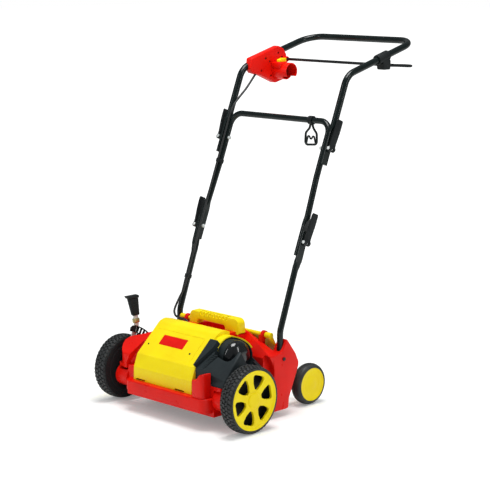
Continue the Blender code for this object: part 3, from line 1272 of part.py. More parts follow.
def make_box_half(inner):
    """One half of the switch box, clamped round the left arm."""
    split = (BOX_IN_X + BOX_OUT_X) / 2
    if inner:
        span = (split + GAP / 2, BOX_IN_X + 0.01)
        hollow = (split - 0.01, BOX_IN_X - BOX_WALL)
    else:
        span = (BOX_OUT_X - 0.01, split - GAP / 2)
        hollow = (BOX_OUT_X + BOX_WALL, split + 0.01)
    outer = bevelled(along_x(box_outline(), BOX_OUT_X, BOX_IN_X), 0.003, 1, 20)
    half = common(outer, box(*span, 0.4, 0.8, 0.9, 1.2))
    bore = bore_r(UPPER_TUBE_R, GAP, MEDIUM)
    mouth = rod((-UPPER_X, 0.488, arm_point(0.488)), (-UPPER_X, 0.512, arm_point(0.512)), bore + 0.0022,
                MEDIUM, bore)
    cuts = [along_x(box_hollow(), *hollow), arm_tube(-1, 0.45, 0.75, bore), mouth,
            rod((CABLE_X, 0.541, 1.003), (CABLE_X, 0.500, 0.962), bore_r(CABLE_R, GAP, COARSE))]
    for y, z in BOX_SCREWS:
        cuts.append(rod_x(BOX_OUT_X + 0.0045, BOX_IN_X + 0.01, y, z, bore_r(BOX_SCREW_R, GAP, COARSE)))
        cuts.append(rod_x(BOX_IN_X - 0.002, BOX_IN_X + 0.01, y, z, bore_r(BOX_SCREW_R * 2, GAP, COARSE)))
    if not inner:
        return cut(half, *cuts)
    shroud = rod_x(BOX_IN_X - 0.001, SHROUD_END_X, SHROUD_Y, SHROUD_Z, SHROUD_R, FINE)
    boss = rod_x(BOX_IN_X - 0.001, BAIL_BOSS_X, BAIL_Y, BAIL_Z, 0.009, MEDIUM)
    top = SHROUD_Z + SHROUD_R
    ramp = box(BOX_IN_X - 0.001, BUTTON_X + 0.014, BUTTON_Y - 0.021, BUTTON_Y + 0.020, SHROUD_Z + 0.008,
               top + RAMP_RISE)
    slot_x = BUTTON_HALF_X + RUN
    slot_y = BUTTON_HALF_Y + RUN
    cuts += [rod_x(BOX_IN_X + GAP, SHROUD_END_X + 0.01, SHROUD_Y, SHROUD_Z, SHROUD_R - SHROUD_WALL, FINE),
             rod_x(BOX_IN_X - 0.003, SHROUD_END_X + 0.01, SHROUD_Y, SHROUD_Z, 0.006, MEDIUM),
             rod_x(BOX_IN_X - 0.0055, BAIL_BOSS_X + 0.01, BAIL_Y, BAIL_Z, bore_r(BAIL_R, RUN, COARSE)),
             box(BUTTON_X - slot_x, BUTTON_X + slot_x, BUTTON_Y - slot_y, BUTTON_Y + slot_y, top - SLOT_SINK,
                 top + 0.02)]
    return cut(join(half, shroud, boss, bevelled(ramp, 0.0015)), *cuts)


def make_inlet():
    """The black plug base in the socket, with a collar round its two pins."""
    base = rod_x(BOX_IN_X + 2 * GAP, BOX_IN_X + 0.006, SHROUD_Y, SHROUD_Z,
                 SHROUD_R - SHROUD_WALL - GAP * 2, FINE)
    block = bevelled(box(BOX_IN_X + 0.004, BOX_IN_X + INLET_DEPTH, SHROUD_Y - 0.0145, SHROUD_Y + 0.0145,
                         SHROUD_Z - 0.009, SHROUD_Z + 0.009), 0.003, 2, 50)
    well = box(BOX_IN_X + 0.012, BOX_IN_X + 0.1, SHROUD_Y - 0.0120, SHROUD_Y + 0.0120, SHROUD_Z - 0.0065,
               SHROUD_Z + 0.0065)
    tail = rod_x(BOX_IN_X - 0.0025, BOX_IN_X + 0.003, SHROUD_Y, SHROUD_Z, 0.0055, MEDIUM)
    pins = [rod_x(BOX_IN_X + 0.008, BOX_IN_X + INLET_DEPTH - 0.003, SHROUD_Y + s * PIN_SPAN / 2, SHROUD_Z,
                  PIN_R) for s in (1, -1)]
    return join(cut(join(base, block, tail), well), *pins)


def make_lock_button():
    """A wedge on top of the socket that is pressed before the bail can be pulled."""
    rim = SHROUD_Z + SHROUD_R + RAMP_RISE
    base = SHROUD_Z + SHROUD_R - SLOT_SINK + RUN + BUTTON_TRAVEL
    front, rear = BUTTON_Y - BUTTON_HALF_Y, BUTTON_Y + BUTTON_HALF_Y
    outline = [(front, base), (rear, base), (rear, rim + 0.010), (BUTTON_Y, rim + 0.010),
               (front, rim + 0.0055)]
    return bevelled(along_x(outline, BUTTON_X - BUTTON_HALF_X, BUTTON_X + BUTTON_HALF_X), 0.0008)


def make_bail():
    """A rod across the handle with a lever at its right end."""
    bar = rod_x(BOX_IN_X - 0.005, BRACKET_OUT_X - 0.004, BAIL_Y, BAIL_Z, BAIL_R)
    a = math.radians(BAIL_DROP)
    along = Vector((math.cos(a), -math.sin(a)))
    across = Vector((math.sin(a), math.cos(a)))
    start = Vector((BAIL_Y, BAIL_Z))
    outline = []
    for reach, half in ((0.0, 0.0075), (0.020, 0.0060), (BAIL_LEVER_LENGTH - 0.012, 0.0050),
                        (BAIL_LEVER_LENGTH, 0.0025)):
        outline.append(start + along * reach - across * half)
    for reach, half in ((BAIL_LEVER_LENGTH, 0.0025), (BAIL_LEVER_LENGTH - 0.012, 0.0050), (0.020, 0.0060),
                        (0.0, 0.0075)):
        outline.append(start + along * reach + across * half)
    lever = along_x(outline, UPPER_X - BAIL_LEVER_HALF, UPPER_X + BAIL_LEVER_HALF)
    knuckle = rod_x(UPPER_X - BAIL_LEVER_HALF, UPPER_X + BAIL_LEVER_HALF, BAIL_Y, BAIL_Z, 0.0075, MEDIUM)
    return join(bevelled(lever, 0.0015, 1, 40), knuckle, bar)


def make_bail_bracket():
    """The block under the right arm that carries the bail's rod."""
    outline = [(0.6125, 1.026), (0.6125, 1.056), (0.622, 1.062), (0.664, 1.0735), (0.668, 1.040),
               (0.662, 1.014), (0.640, 1.012)]
    block = bevelled(along_x(outline, BRACKET_IN_X, BRACKET_OUT_X), 0.002, 1, 20)
    slot = BAIL_LEVER_HALF + 0.0006
    cuts = [arm_tube(1, 0.55, 0.75, bore_r(UPPER_TUBE_R, GAP, MEDIUM)),
            rod_x(BRACKET_IN_X - 0.01, BRACKET_OUT_X - 0.0035, BAIL_Y, BAIL_Z, bore_r(BAIL_R, RUN, COARSE)),
            rod_x(UPPER_X - slot, UPPER_X + slot, BAIL_Y, BAIL_Z, bore_r(0.0075, 0.001, MEDIUM), MEDIUM),
            box(UPPER_X - slot, UPPER_X + slot, BAIL_Y, 0.70, BAIL_Z - 0.012, BAIL_Z + 0.0125)]
    return cut(block, *cuts)


def cable(name, route, spec):
    """A round cable along a smooth curve through the route's points."""
    curve = bpy.data.curves.new(name, "CURVE")
    curve.dimensions = "3D"
    curve.bevel_depth = CABLE_R
    curve.bevel_resolution = 2
    curve.use_fill_caps = True
    points = smooth(route, CABLE_STEP)
    spline = curve.splines.new("POLY")
    spline.points.add(len(points) - 1)
    for where, point in zip(spline.points, points):
        where.co = (*point, 1.0)
    curve.materials.append(material(spec))
    made = bpy.data.objects.new(name, curve)
    made.parent = machine
    bpy.context.scene.collection.objects.link(made)
    return made


def smooth(route, step):
    """Points at an even step along a smooth curve through the route's points."""
    points = [Vector(point) for point in route]
    ends = [points[0] * 2 - points[1]] + points + [points[-1] * 2 - points[-2]]
    fine = []
    for i in range(1, len(ends) - 2):
        p0, p1, p2, p3 = ends[i - 1:i + 3]
        for k in range(20):
            t = k / 20
            fine.append(0.5 * ((2 * p1) + (p2 - p0) * t + (2 * p0 - 5 * p1 + 4 * p2 - p3) * t ** 2
                               + (3 * p1 - p0 - 3 * p2 + p3) * t ** 3))
    fine.append(points[-1])
    length = sum((b - a).length for a, b in zip(fine, fine[1:]))
    count = max(1, round(length / step))
    spaced = [fine[0]]
    travelled = 0.0
    for a, b in zip(fine, fine[1:]):
        piece = (b - a).length
        while len(spaced) < count and travelled + piece >= len(spaced) * length / count:
            share = (len(spaced) * length / count - travelled) / piece
            spaced.append(a.lerp(b, share))
        travelled += piece
    spaced.append(fine[-1])
    return spaced


def beside(point, way):
    """The cable's (y, z) place in front of a tube's middle line."""
    return Vector(point) - Vector((way.y, -way.x)) * CABLE_AHEAD


def make_clip(centre, way, tube_x):
    """A clip with a ring round the tube and a smaller ring round the cable."""
    along = Vector((0, *way)) * CLIP_HALF
    tube = Vector((tube_x, *centre))
    wire = Vector((CABLE_X, *beside(centre, way)))
    side = along.cross(wire - tube).normalized() * 0.0016
    short = along * 0.8
    web = extruded([tube - short - side, tube - short + side, wire - short + side, wire - short - side],
                   short * 2)
    body = join(rod(tube - along, tube + along, LOWER_TUBE_R + GAP + CLIP_WALL, MEDIUM), web,
                rod(wire - along, wire + along, CABLE_R + GAP + CLIP_WALL))
    return cut(body, rod(tube - along * 3, tube + along * 3, bore_r(LOWER_TUBE_R, GAP, MEDIUM), MEDIUM),
               rod(wire - along * 3, wire + along * 3, bore_r(CABLE_R, GAP, COARSE)))


def make_hook():
    """The cable hook: a ring round the crossbar and a wire loop hanging from it."""
    y, z = CROSSBAR
    ring = ring_x(HOOK_X, HOOK_X + 0.017, y, z, LOWER_TUBE_R + 0.004, bore_r(LOWER_TUBE_R, RUN, COARSE),
                  MEDIUM)
    top = z - LOWER_TUBE_R - 0.003
    x = HOOK_X + 0.0085
    corners = [(x, y, top), (x - 0.0005, y, top - 0.012), (x - 0.024, y - 0.002, top - 0.024),
               (x - 0.022, y - 0.002, top - 0.058), (x + 0.004, y - 0.002, top - 0.066),
               (x + 0.024, y - 0.002, top - 0.050), (x + 0.023, y - 0.002, top - 0.026)]
    path = filleted(corners, [0.006, 0.010, 0.012, 0.012, 0.012], 2)
    return join(ring, swept_wire(path, HOOK_WIRE_R))


def swept_wire(path, radius, sides=6):
    """A solid round wire along a path."""
    bm = bmesh.new()
    rings = []
    across = Vector((0, 1, 0))
    for i, point in enumerate(path):
        before = (path[i] - path[i - 1]).normalized() if i else None
        after = (path[i + 1] - path[i]).normalized() if i + 1 < len(path) else None
        tangent = ((before or after) + (after or before)).normalized()
        across = (across - tangent * across.dot(tangent)).normalized()
        other = tangent.cross(across)
        angles = [2 * math.pi * k / sides for k in range(sides)]
        rings.append([bm.verts.new(point + (across * math.cos(a) + other * math.sin(a)) * radius)
                      for a in angles])
    for first, second in zip(rings, rings[1:]):
        for i in range(sides):
            j = (i + 1) % sides
            bm.faces.new((first[i], first[j], second[j], second[i]))
    bm.faces.new(list(reversed(rings[0])))
    bm.faces.new(rings[-1])
    bmesh.ops.recalc_face_normals(bm, faces=bm.faces)
    return bm


# The machine

pivot = (0, PIVOT_Y, PIVOT_Z)
rotor = (0, ROTOR_Y, ROTOR_Z)
motor = (0, MOTOR_Y, MOTOR_Z)
rear_axle = (0, REAR_AXLE_Y, REAR_AXLE_Z)
lower_joint = (0, *LOWER_JOINT)
upper_joint = (0, *UPPER_JOINT)

place("chassis", make_chassis(), RED)
place("front_apron", make_apron(), RED)
place("motor_hood", make_hood(), YELLOW)
place("hood_plate", make_hood_plate(), RED)
place("drive_cover", make_cover(), BLACK)
place("motor_end", make_motor_end(), GLOSS)
place("motor_housing", make_motor_housing(), ALUMINIUM)
place("motor_shaft", make_motor_shaft(), STEEL, motor)
place("drive_belt", make_belt(), RUBBER)
place("tine_tunnel", make_tunnel(), STEEL)
place("bearing_right", make_bearing(1), STEEL)
place("bearing_left", make_bearing(-1), STEEL)
place("rotor_shaft", make_rotor_shaft(), STEEL, rotor)
place("rotor_pulley", make_rotor_pulley(), ALUMINIUM, rotor)
place("tine_rotor", make_tines(), STEEL, rotor)
place("carry_handle", make_carry_handle(), YELLOW)
place("rear_flap", make_flap(), YELLOW, (0, FLAP_HINGE_Y, FLAP_HINGE_Z))

place("front_axle", make_front_axle(), ZINC, pivot)
place("depth_lever", make_lever_shank(), ZINC, pivot)
place("depth_lever_collar", make_lever_collar(), BRASS, pivot)
place("depth_lever_grip", make_lever_grip(), BLACK, pivot)
place("depth_quadrant", make_quadrant(), BLACK)
place("rear_axle", make_rear_axle(), ZINC)
for word, side in (("right", 1), ("left", -1)):
    hub = (side * FRONT_OUTER_X, 0, FRONT_R)
    place("front_tyre_" + word, make_front_tyre(side), RUBBER, hub)
    place("front_rim_" + word, make_front_rim(side), YELLOW, hub)
    place("front_hub_cap_" + word, make_hub_cap(side), YELLOW, hub)
    end = (side * REAR_OUTER_X, REAR_AXLE_Y, REAR_AXLE_Z)
    place("rear_tyre_" + word, make_rear_tyre(side), RUBBER, end)
    place("rear_disc_" + word, make_rear_disc(side), YELLOW, end)

flat_in = FLAT_X - GAP - FLAT_THICK
round_in = MIDDLE_TOP_X - LOWER_TUBE_R
place("lower_tube_right", make_lower_tube(1), TUBE)
place("lower_tube_left", make_lower_tube(-1), TUBE)
place("socket_bolt_right", make_socket_bolt(1), STEEL)
place("socket_bolt_left", make_socket_bolt(-1), STEEL)
place("middle_handle", make_middle_handle(), TUBE, lower_joint)
place("upper_handle", make_upper_handle(), TUBE, upper_joint)
for level, joint, way, inner_x in (("lower", LOWER_JOINT, LOWER_LEVER_WAY, flat_in),
                                   ("upper", UPPER_JOINT, UPPER_LEVER_WAY, round_in)):
    where = (0, *joint) if level == "upper" else (0, 0, 0)
    for word, side in (("right", 1), ("left", -1)):
        place(level + "_joint_bolt_" + word, make_joint_bolt(side, joint, way, inner_x), ZINC, where)
        place(level + "_clamp_lever_" + word, make_cam_lever(side, joint, way), BLACK,
              (side * cam_x(), *joint))

place("switch_box_inner", make_box_half(True), RED, upper_joint)
place("switch_box_outer", make_box_half(False), RED, upper_joint)
place("power_inlet", make_inlet(), BLACK, upper_joint)
place("lock_button", make_lock_button(), YELLOW, (BUTTON_X, BUTTON_Y, SHROUD_Z + SHROUD_R))
place("bail_bracket", make_bail_bracket(), BLACK, upper_joint)
place("bail_lever", make_bail(), BLACK, (0, BAIL_Y, BAIL_Z))
place("cable_hook", make_hook(), STEEL, (HOOK_X, *CROSSBAR))

middle_way = upper_direction()
upper_split = beside(UPPER_JOINT, middle_way)
lower_split = beside(LOWER_JOINT, middle_way)
half_gap = middle_way * GAP / 2
box_to_joint = [(0.538, 1.000), (0.518, 0.980), (0.480, 0.941), (0.444, 0.911), (0.424, 0.893),
                (0.409, 0.870), (0.3975, 0.843), upper_split + middle_way * 0.020, upper_split + half_gap]
cable("cable_upper", [(CABLE_X, *point) for point in box_to_joint], CORD)
cable("cable_middle", [(CABLE_X, *(upper_split - half_gap)), (CABLE_X, *(lower_split + half_gap))], CORD)
down_tube = [lower_split - half_gap, lower_split - middle_way * 0.02,
             beside(Vector(LOWER_JOINT) - lower_direction() * 0.060, lower_direction()),
             beside(Vector(LOWER_JOINT) - lower_direction() * 0.120, lower_direction()),
             beside(Vector(LOWER_JOINT) - lower_direction() * LOWER_CLIP_DOWN, lower_direction())]
into_deck = [(CABLE_X - 0.0026, 0.200, 0.325), (CABLE_X - 0.0071, 0.180, 0.290),
             (CABLE_X - 0.0066, 0.163, 0.262), (CABLE_X + 0.0029, 0.158, 0.2465),
             (-0.185, 0.158, 0.2415), (-0.165, 0.1575, 0.2405), (-0.152, 0.1555, 0.2400),
             (-0.144, 0.1535, 0.2345), (-0.1415, 0.1528, 0.226), (-0.1410, 0.1525, 0.216)]
cable("cable_lower", [(CABLE_X, *point) for point in down_tube] + into_deck, CORD)
upper_clip = Vector(UPPER_JOINT) - middle_way * UPPER_CLIP_DOWN
lower_clip = Vector(LOWER_JOINT) - lower_direction() * LOWER_CLIP_DOWN
place("cable_clip_upper", make_clip(upper_clip, middle_way, -MIDDLE_TOP_X), BLACK, lower_joint)
place("cable_clip_lower", make_clip(lower_clip, lower_direction(), -LOWER_X), BLACK)
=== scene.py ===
# %% [markdown]
# # Dressing a lawn scarifier
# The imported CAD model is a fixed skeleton: every solid already has its true place and moves with its own
# joint. This script hangs finished pieces on it: moulded shells with soft edges, pressed tube ends, tread on
# the tyres, and a worn, grained surface on everything. It could all be one big mesh, but then nothing could
# fold or spin, so each real part stays a piece of its own and rides on the CAD body that carries it.

# %% Load the frame
import json
from math import ceil, copysign, cos, pi, radians, sin, tan

import bpy
from mathutils import Matrix, Vector

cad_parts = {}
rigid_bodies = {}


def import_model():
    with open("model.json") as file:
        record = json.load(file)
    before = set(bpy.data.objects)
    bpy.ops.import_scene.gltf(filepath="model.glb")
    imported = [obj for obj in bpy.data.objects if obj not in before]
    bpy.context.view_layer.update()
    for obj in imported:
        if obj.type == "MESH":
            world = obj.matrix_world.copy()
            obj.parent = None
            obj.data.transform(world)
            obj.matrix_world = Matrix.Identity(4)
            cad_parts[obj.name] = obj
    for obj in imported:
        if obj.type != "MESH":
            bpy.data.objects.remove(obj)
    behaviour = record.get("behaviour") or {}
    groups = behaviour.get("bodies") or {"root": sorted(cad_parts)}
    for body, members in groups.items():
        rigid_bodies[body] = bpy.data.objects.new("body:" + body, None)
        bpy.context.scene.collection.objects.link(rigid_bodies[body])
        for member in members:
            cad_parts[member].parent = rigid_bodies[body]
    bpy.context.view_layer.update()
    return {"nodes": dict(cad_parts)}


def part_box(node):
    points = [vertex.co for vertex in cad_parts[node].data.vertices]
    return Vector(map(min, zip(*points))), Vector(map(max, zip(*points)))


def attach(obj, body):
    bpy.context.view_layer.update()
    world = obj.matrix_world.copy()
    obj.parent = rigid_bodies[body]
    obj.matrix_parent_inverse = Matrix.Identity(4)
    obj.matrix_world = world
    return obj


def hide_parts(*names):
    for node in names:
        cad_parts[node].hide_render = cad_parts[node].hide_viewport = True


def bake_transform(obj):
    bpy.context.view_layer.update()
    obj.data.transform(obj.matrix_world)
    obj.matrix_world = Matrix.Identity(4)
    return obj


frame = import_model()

tyre_low, tyre_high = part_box("front_tyre_right")
AXLE_Y = (tyre_low.y + tyre_high.y) / 2
SIDES = (("right", 1), ("left", -1))
to_scene = bpy.context.scene.collection.objects.link

# %% [markdown]
# ## The camera first
# The photograph was taken from far away with a long lens, a little above the machine, so its edges run
# almost parallel. A long lens on a distant camera gives the same calm perspective. Everything else is judged
# through this view, so it comes before any modelling.

# %% Camera
camera = bpy.data.objects.new("camera", bpy.data.cameras.new("camera"))
to_scene(camera)
camera.location = (3.3767, -3.1641 + AXLE_Y, 1.3593)
look_at = Vector((0.0627, 0.2 + AXLE_Y, 0.499))
camera.rotation_euler = (look_at - camera.location).to_track_quat("-Z", "Y").to_euler()
camera.data.sensor_width = 36.0
camera.data.lens = 116.85
camera.data.clip_end = 60
bpy.context.scene.camera = camera
print("camera looks from", [round(v, 2) for v in camera.location], "through", camera.data.lens, "mm")

# %% [markdown]
# ## Small helpers for modelling by hand
# Blender's operators work on whatever is selected, and loading the frame leaves all of its nodes selected.
# So every step first deselects everything and picks its one piece. Heights and widths below are those of the
# real machine; lengths along Y are counted from the front axle, as a workshop drawing would, and each piece
# slides back onto the frame when it is fitted.

# %% Selecting, softening and combining
def only(piece):
    """Selects one piece and makes it the active one."""
    bpy.ops.object.select_all(action="DESELECT")
    piece.select_set(True)
    bpy.context.view_layer.objects.active = piece
    return piece


def named(name):
    """Names the piece that an operator has just added, with its place moved into its mesh."""
    piece = only(bpy.context.object)
    piece.name = name
    bpy.ops.object.transform_apply(location=True, rotation=True, scale=True)
    return piece


def apply_modifier(piece, kind, **settings):
    """Adds one modifier, sets it and applies it."""
    only(piece)
    step = piece.modifiers.new("step", kind)
    for key, value in settings.items():
        setattr(step, key, value)
    bpy.ops.object.modifier_apply(modifier=step.name)
    return piece


def soften(piece, width, segments=3, angle=50):
    """Rounds every edge sharper than an angle."""
    return apply_modifier(piece, "BEVEL", width=width, segments=segments, limit_method="ANGLE",
        angle_limit=radians(angle))


def edit_all(piece):
    """Opens a piece in edit mode with everything selected."""
    only(piece)
    bpy.ops.object.mode_set(mode="EDIT")
    bpy.ops.mesh.select_all(action="SELECT")


def close():
    bpy.ops.object.mode_set(mode="OBJECT")


def carve(piece, *tools):
    """Cuts each tool out of the piece."""
    for tool in tools:
        apply_modifier(piece, "BOOLEAN", operation="DIFFERENCE", solver="EXACT", object=tool)
        bpy.data.objects.remove(tool, do_unlink=True)
    return piece


def unite(piece, *others):
    """Melts other bodies into the piece."""
    for other in others:
        apply_modifier(piece, "BOOLEAN", operation="UNION", solver="EXACT", object=other)
        bpy.data.objects.remove(other, do_unlink=True)
    return piece


def gather(piece, *others):
    """Makes one object of bodies that only touch."""
    only(piece)
    for other in others:
        other.select_set(True)
    bpy.ops.object.join()
    return piece


def round_edges(piece, chosen, width, segments=4):
    """Bevels, in edit mode, the edges whose two ends pass a test."""
    only(piece)
    mesh = piece.data
    for part in (mesh.vertices, mesh.edges, mesh.polygons):
        part.foreach_set("select", [False] * len(part))
    for edge in mesh.edges:
        a, b = (mesh.vertices[i].co for i in edge.vertices)
        edge.select = bool(chosen(a, b))
    bpy.context.tool_settings.mesh_select_mode = (False, True, False)
    bpy.ops.object.mode_set(mode="EDIT")
    bpy.ops.mesh.bevel(offset=width, segments=segments, profile=0.5, affect="EDGES", clamp_overlap=True)
    close()
    return piece


print("helpers ready")

# %% [markdown]
# ## Blocks, slabs, turned shapes and bars
# Most moulded parts are a flat outline pushed to a thickness. A filled circle with as many corners as the
# outline is a quick start: its corners are dragged onto the outline, then the face is extruded. Wheels, caps
# and the motor's drum are turned instead: a half profile spun about its axis, exactly as on a lathe.

# %% Blocks and slabs
SAME = 1e-5  # two points closer than this are one


def block(name, low, high):
    """A cube added at its size and place."""
    middle = [(a + b) / 2 for a, b in zip(low, high)]
    size = [b - a for a, b in zip(low, high)]
    bpy.ops.object.select_all(action="DESELECT")
    bpy.ops.mesh.primitive_cube_add(size=1, location=middle, scale=size)
    return named(name)


def block_on(side, name, low, high):
    """A block given for the right side, there or mirrored to the left."""
    x0, x1 = sorted((side * low[0], side * high[0]))
    return block(name, (x0, *low[1:]), (x1, *high[1:]))


def below(height):
    """Everything on the right under a height, to cut a turned arch off."""
    return block("below", (0, -0.2, 0), (0.3, 0.3, height))


def slab(name, outline, push, far=None):
    """An outline pushed along a direction; far gives the corners of its other end."""
    bpy.ops.object.select_all(action="DESELECT")
    bpy.ops.mesh.primitive_circle_add(vertices=len(outline), fill_type="NGON")
    piece = named(name)
    for vert, point in zip(piece.data.vertices, outline):
        vert.co = point
    edit_all(piece)
    bpy.ops.mesh.extrude_region_move(TRANSFORM_OT_translate={"value": push})
    close()
    if far:
        for point, goal in zip(outline, far):
            pushed = Vector(point) + Vector(push)
            for vert in piece.data.vertices:
                if (vert.co - pushed).length < SAME:
                    vert.co = goal
                    break
    return outwards(piece)


def outwards(piece):
    """Merges doubled points and turns all faces outwards."""
    edit_all(piece)
    bpy.ops.mesh.remove_doubles(threshold=SAME)
    bpy.ops.mesh.normals_make_consistent(inside=False)
    close()
    return piece


def slab_x(name, outline, x0, x1, far=None):
    """A slab along X from (y, z) corners."""
    return slab(name, [(x0, y, z) for y, z in outline], (x1 - x0, 0, 0), far and [(x1, y, z) for y, z in far])


def slab_y(name, outline, y0, y1, far=None):
    """A slab along Y from (x, z) corners."""
    return slab(name, [(x, y0, z) for x, z in outline], (0, y1 - y0, 0), far and [(x, y1, z) for x, z in far])


def slab_z(name, outline, z0, z1):
    """A slab along Z from (x, y) corners."""
    return slab(name, [(x, y, z0) for x, y in outline], (0, 0, z1 - z0))


def rectangle(a0, b0, a1, b1):
    """The corners of a rectangle between two opposite ones."""
    return [(a0, b0), (a0, b1), (a1, b1), (a1, b0)]


def rounded(corners, radii, steps=6):
    """A closed outline with each corner turned to its radius."""
    count = len(corners)
    outline = []
    for i in range(count):
        before, here, after = (Vector(corners[(i + k) % count]) for k in (-1, 0, 1))
        radius = radii[i] if isinstance(radii, (list, tuple)) else radii
        if not radius:
            outline.append(tuple(here))
            continue
        back = (before - here).normalized()
        on = (after - here).normalized()
        half = back.angle(on) / 2
        reach = radius / tan(half)
        centre = here + (back + on).normalized() * radius / sin(half)
        first = here + back * reach - centre
        last = here + on * reach - centre
        sweep = first.angle(last)
        if first.x * last.y - first.y * last.x < 0:
            sweep = -sweep
        for k in range(steps + 1):
            a = sweep * k / steps
            turned_to = Vector((first.x * cos(a) - first.y * sin(a), first.x * sin(a) + first.y * cos(a)))
            outline.append(tuple(centre + turned_to))
    return outline


print("a rounded square has", len(rounded(rectangle(0, 0, 1, 1), 0.1)), "corners")

# %% Turned shapes, bars and bent tubes
def lathe(name, profile, y, z, steps=96):
    """A closed profile of (x, radius) points spun about an axis along X."""
    bpy.ops.object.select_all(action="DESELECT")
    bpy.ops.mesh.primitive_circle_add(vertices=len(profile), fill_type="NOTHING")
    piece = named(name)
    for vert, (x, radius) in zip(piece.data.vertices, profile):
        vert.co = (x, y, z + radius)
    edit_all(piece)
    bpy.ops.mesh.spin(steps=steps, angle=2 * pi, center=(0, y, z), axis=(1, 0, 0))
    close()
    return outwards(piece)


def bar(name, start, end, radius, sides=32, end_radius=None):
    """A round bar, or a cone, between two points."""
    start, end = Vector(start), Vector(end)
    run = end - start
    turn = run.to_track_quat("Z", "Y").to_euler()
    bpy.ops.object.select_all(action="DESELECT")
    bpy.ops.mesh.primitive_cone_add(vertices=sides, radius1=radius, depth=run.length,
        radius2=radius if end_radius is None else end_radius, location=(start + end) / 2, rotation=turn)
    return named(name)


def bar_x(name, x0, x1, y, z, radius, sides=48):
    """A round bar along X."""
    return bar(name, (x0, y, z), (x1, y, z), radius, sides)


def bent_tube(name, points, radius, resolution=6):
    """A curve along points with a round section, turned into a mesh."""
    curve = bpy.data.curves.new(name, "CURVE")
    curve.dimensions = "3D"
    curve.bevel_depth = radius
    curve.bevel_resolution = resolution
    curve.use_fill_caps = True
    spline = curve.splines.new("POLY")
    spline.points.add(len(points) - 1)
    for where, point in zip(spline.points, points):
        where.co = (*point, 1.0)
    piece = bpy.data.objects.new(name, curve)
    to_scene(piece)
    only(piece)
    bpy.ops.object.convert(target="MESH")
    return outwards(piece)


def filleted(corners, radii, steps=10):
    """A path through corner points with each inner corner rounded."""
    corners = [Vector(corner) for corner in corners]
    path = [corners[0]]
    for i in range(1, len(corners) - 1):
        if not radii[i - 1]:
            path.append(corners[i])
            continue
        before = (corners[i - 1] - corners[i]).normalized()
        after = (corners[i + 1] - corners[i]).normalized()
        half = before.angle(after) / 2
        reach = radii[i - 1] / tan(half)
        centre = corners[i] + (before + after).normalized() * radii[i - 1] / sin(half)
        first = corners[i] + before * reach - centre
        last = corners[i] + after * reach - centre
        axis = first.cross(last).normalized()
        sweep = first.angle(last)
        path += [centre + Matrix.Rotation(sweep * k / steps, 3, axis) @ first for k in range(steps + 1)]
    path.append(corners[-1])
    return path


print("lathe, bar and tube ready")

# %% [markdown]
# ## Finishes
# A moulded part is never one flat colour. Its pigment clouds a little, its gloss changes where hands and
# grass have rubbed it, the mould leaves a fine grain, and corners scuff pale. Each finish below layers
# those: a wide noise for the pigment, a middle one for the gloss, a fine one for the bump, and the mesh's
# own pointiness for the corners. All of them read Object coordinates, so the pattern is fixed to the piece.

# %% Node helpers
def new_finish(name):
    """A new material with its tree and shader."""
    made = bpy.data.materials.new(name)
    made.use_nodes = True
    return made, made.node_tree, made.node_tree.nodes["Principled BSDF"]


def put(node, **values):
    """Sets a node's inputs; an underscore in a name stands for a space."""
    for key, value in values.items():
        node.inputs[key.replace("_", " ")].default_value = value
    return node


def plug(tree, node, **outputs):
    """Links outputs to a node's inputs, named in the same way."""
    for key, output in outputs.items():
        tree.links.new(output, node.inputs[key.replace("_", " ")])


def cloud(tree, scale, detail=3.0, stretch=None):
    """Noise on Object coordinates, perhaps stretched along an axis."""
    noise = put(tree.nodes.new("ShaderNodeTexNoise"), Scale=scale, Detail=detail)
    place = tree.nodes.new("ShaderNodeTexCoord").outputs["Object"]
    if stretch:
        mapping = put(tree.nodes.new("ShaderNodeMapping"), Scale=stretch)
        plug(tree, mapping, Vector=place)
        place = mapping.outputs["Vector"]
    plug(tree, noise, Vector=place)
    return noise.outputs["Fac"]


def spread(tree, value, low, high, start=0.35, end=0.65):
    """Maps a value that runs from start to end onto low to high."""
    node = put(tree.nodes.new("ShaderNodeMapRange"), From_Min=start, From_Max=end, To_Min=low, To_Max=high)
    plug(tree, node, Value=value)
    return node.outputs["Result"]


def mixed(tree, share, first, second):
    """A colour between two, which may be colours or other outputs."""
    node = tree.nodes.new("ShaderNodeMix")
    node.data_type = "RGBA"
    plug(tree, node, Factor=share)
    for key, colour in (("A", first), ("B", second)):
        if isinstance(colour, tuple):
            node.inputs[key].default_value = (*colour, 1.0)
        else:
            tree.links.new(colour, node.inputs[key])
    return node.outputs["Result"]


def bumped(tree, shader, height, strength, depth):
    """Adds a bump from a height."""
    bump = put(tree.nodes.new("ShaderNodeBump"), Strength=strength, Distance=depth)
    plug(tree, bump, Height=height)
    plug(tree, shader, Normal=bump.outputs["Normal"])


def corners_of(tree, start=0.53, end=0.62):
    """How far a point is out on a corner, from 0 to 1."""
    geometry = tree.nodes.new("ShaderNodeNewGeometry")
    return spread(tree, geometry.outputs["Pointiness"], 0.0, 1.0, start, end)


# %% Moulded plastics
def moulded(name, colour, shade, scuff, gloss, grain=1400.0, coat=0.0, mirror=0.16):
    """Injection moulded plastic; gloss is its range of roughness and mirror its reflection."""
    made, tree, shader = new_finish(name)
    pigment = mixed(tree, spread(tree, cloud(tree, 9.0), 0.0, 1.0), colour, shade)
    rubbed = mixed(tree, spread(tree, cloud(tree, 160.0, 5.0), 0.0, 0.35, 0.52, 0.75), pigment, scuff)
    worn = mixed(tree, corners_of(tree), pigment, rubbed)
    plug(tree, shader, Base_Color=worn, Roughness=spread(tree, cloud(tree, 38.0, 4.0), *gloss))
    bumped(tree, shader, cloud(tree, grain, 2.0), 0.12, 0.0003)
    put(shader, Specular_IOR_Level=mirror, Coat_Weight=coat, Coat_Roughness=0.12)
    return made


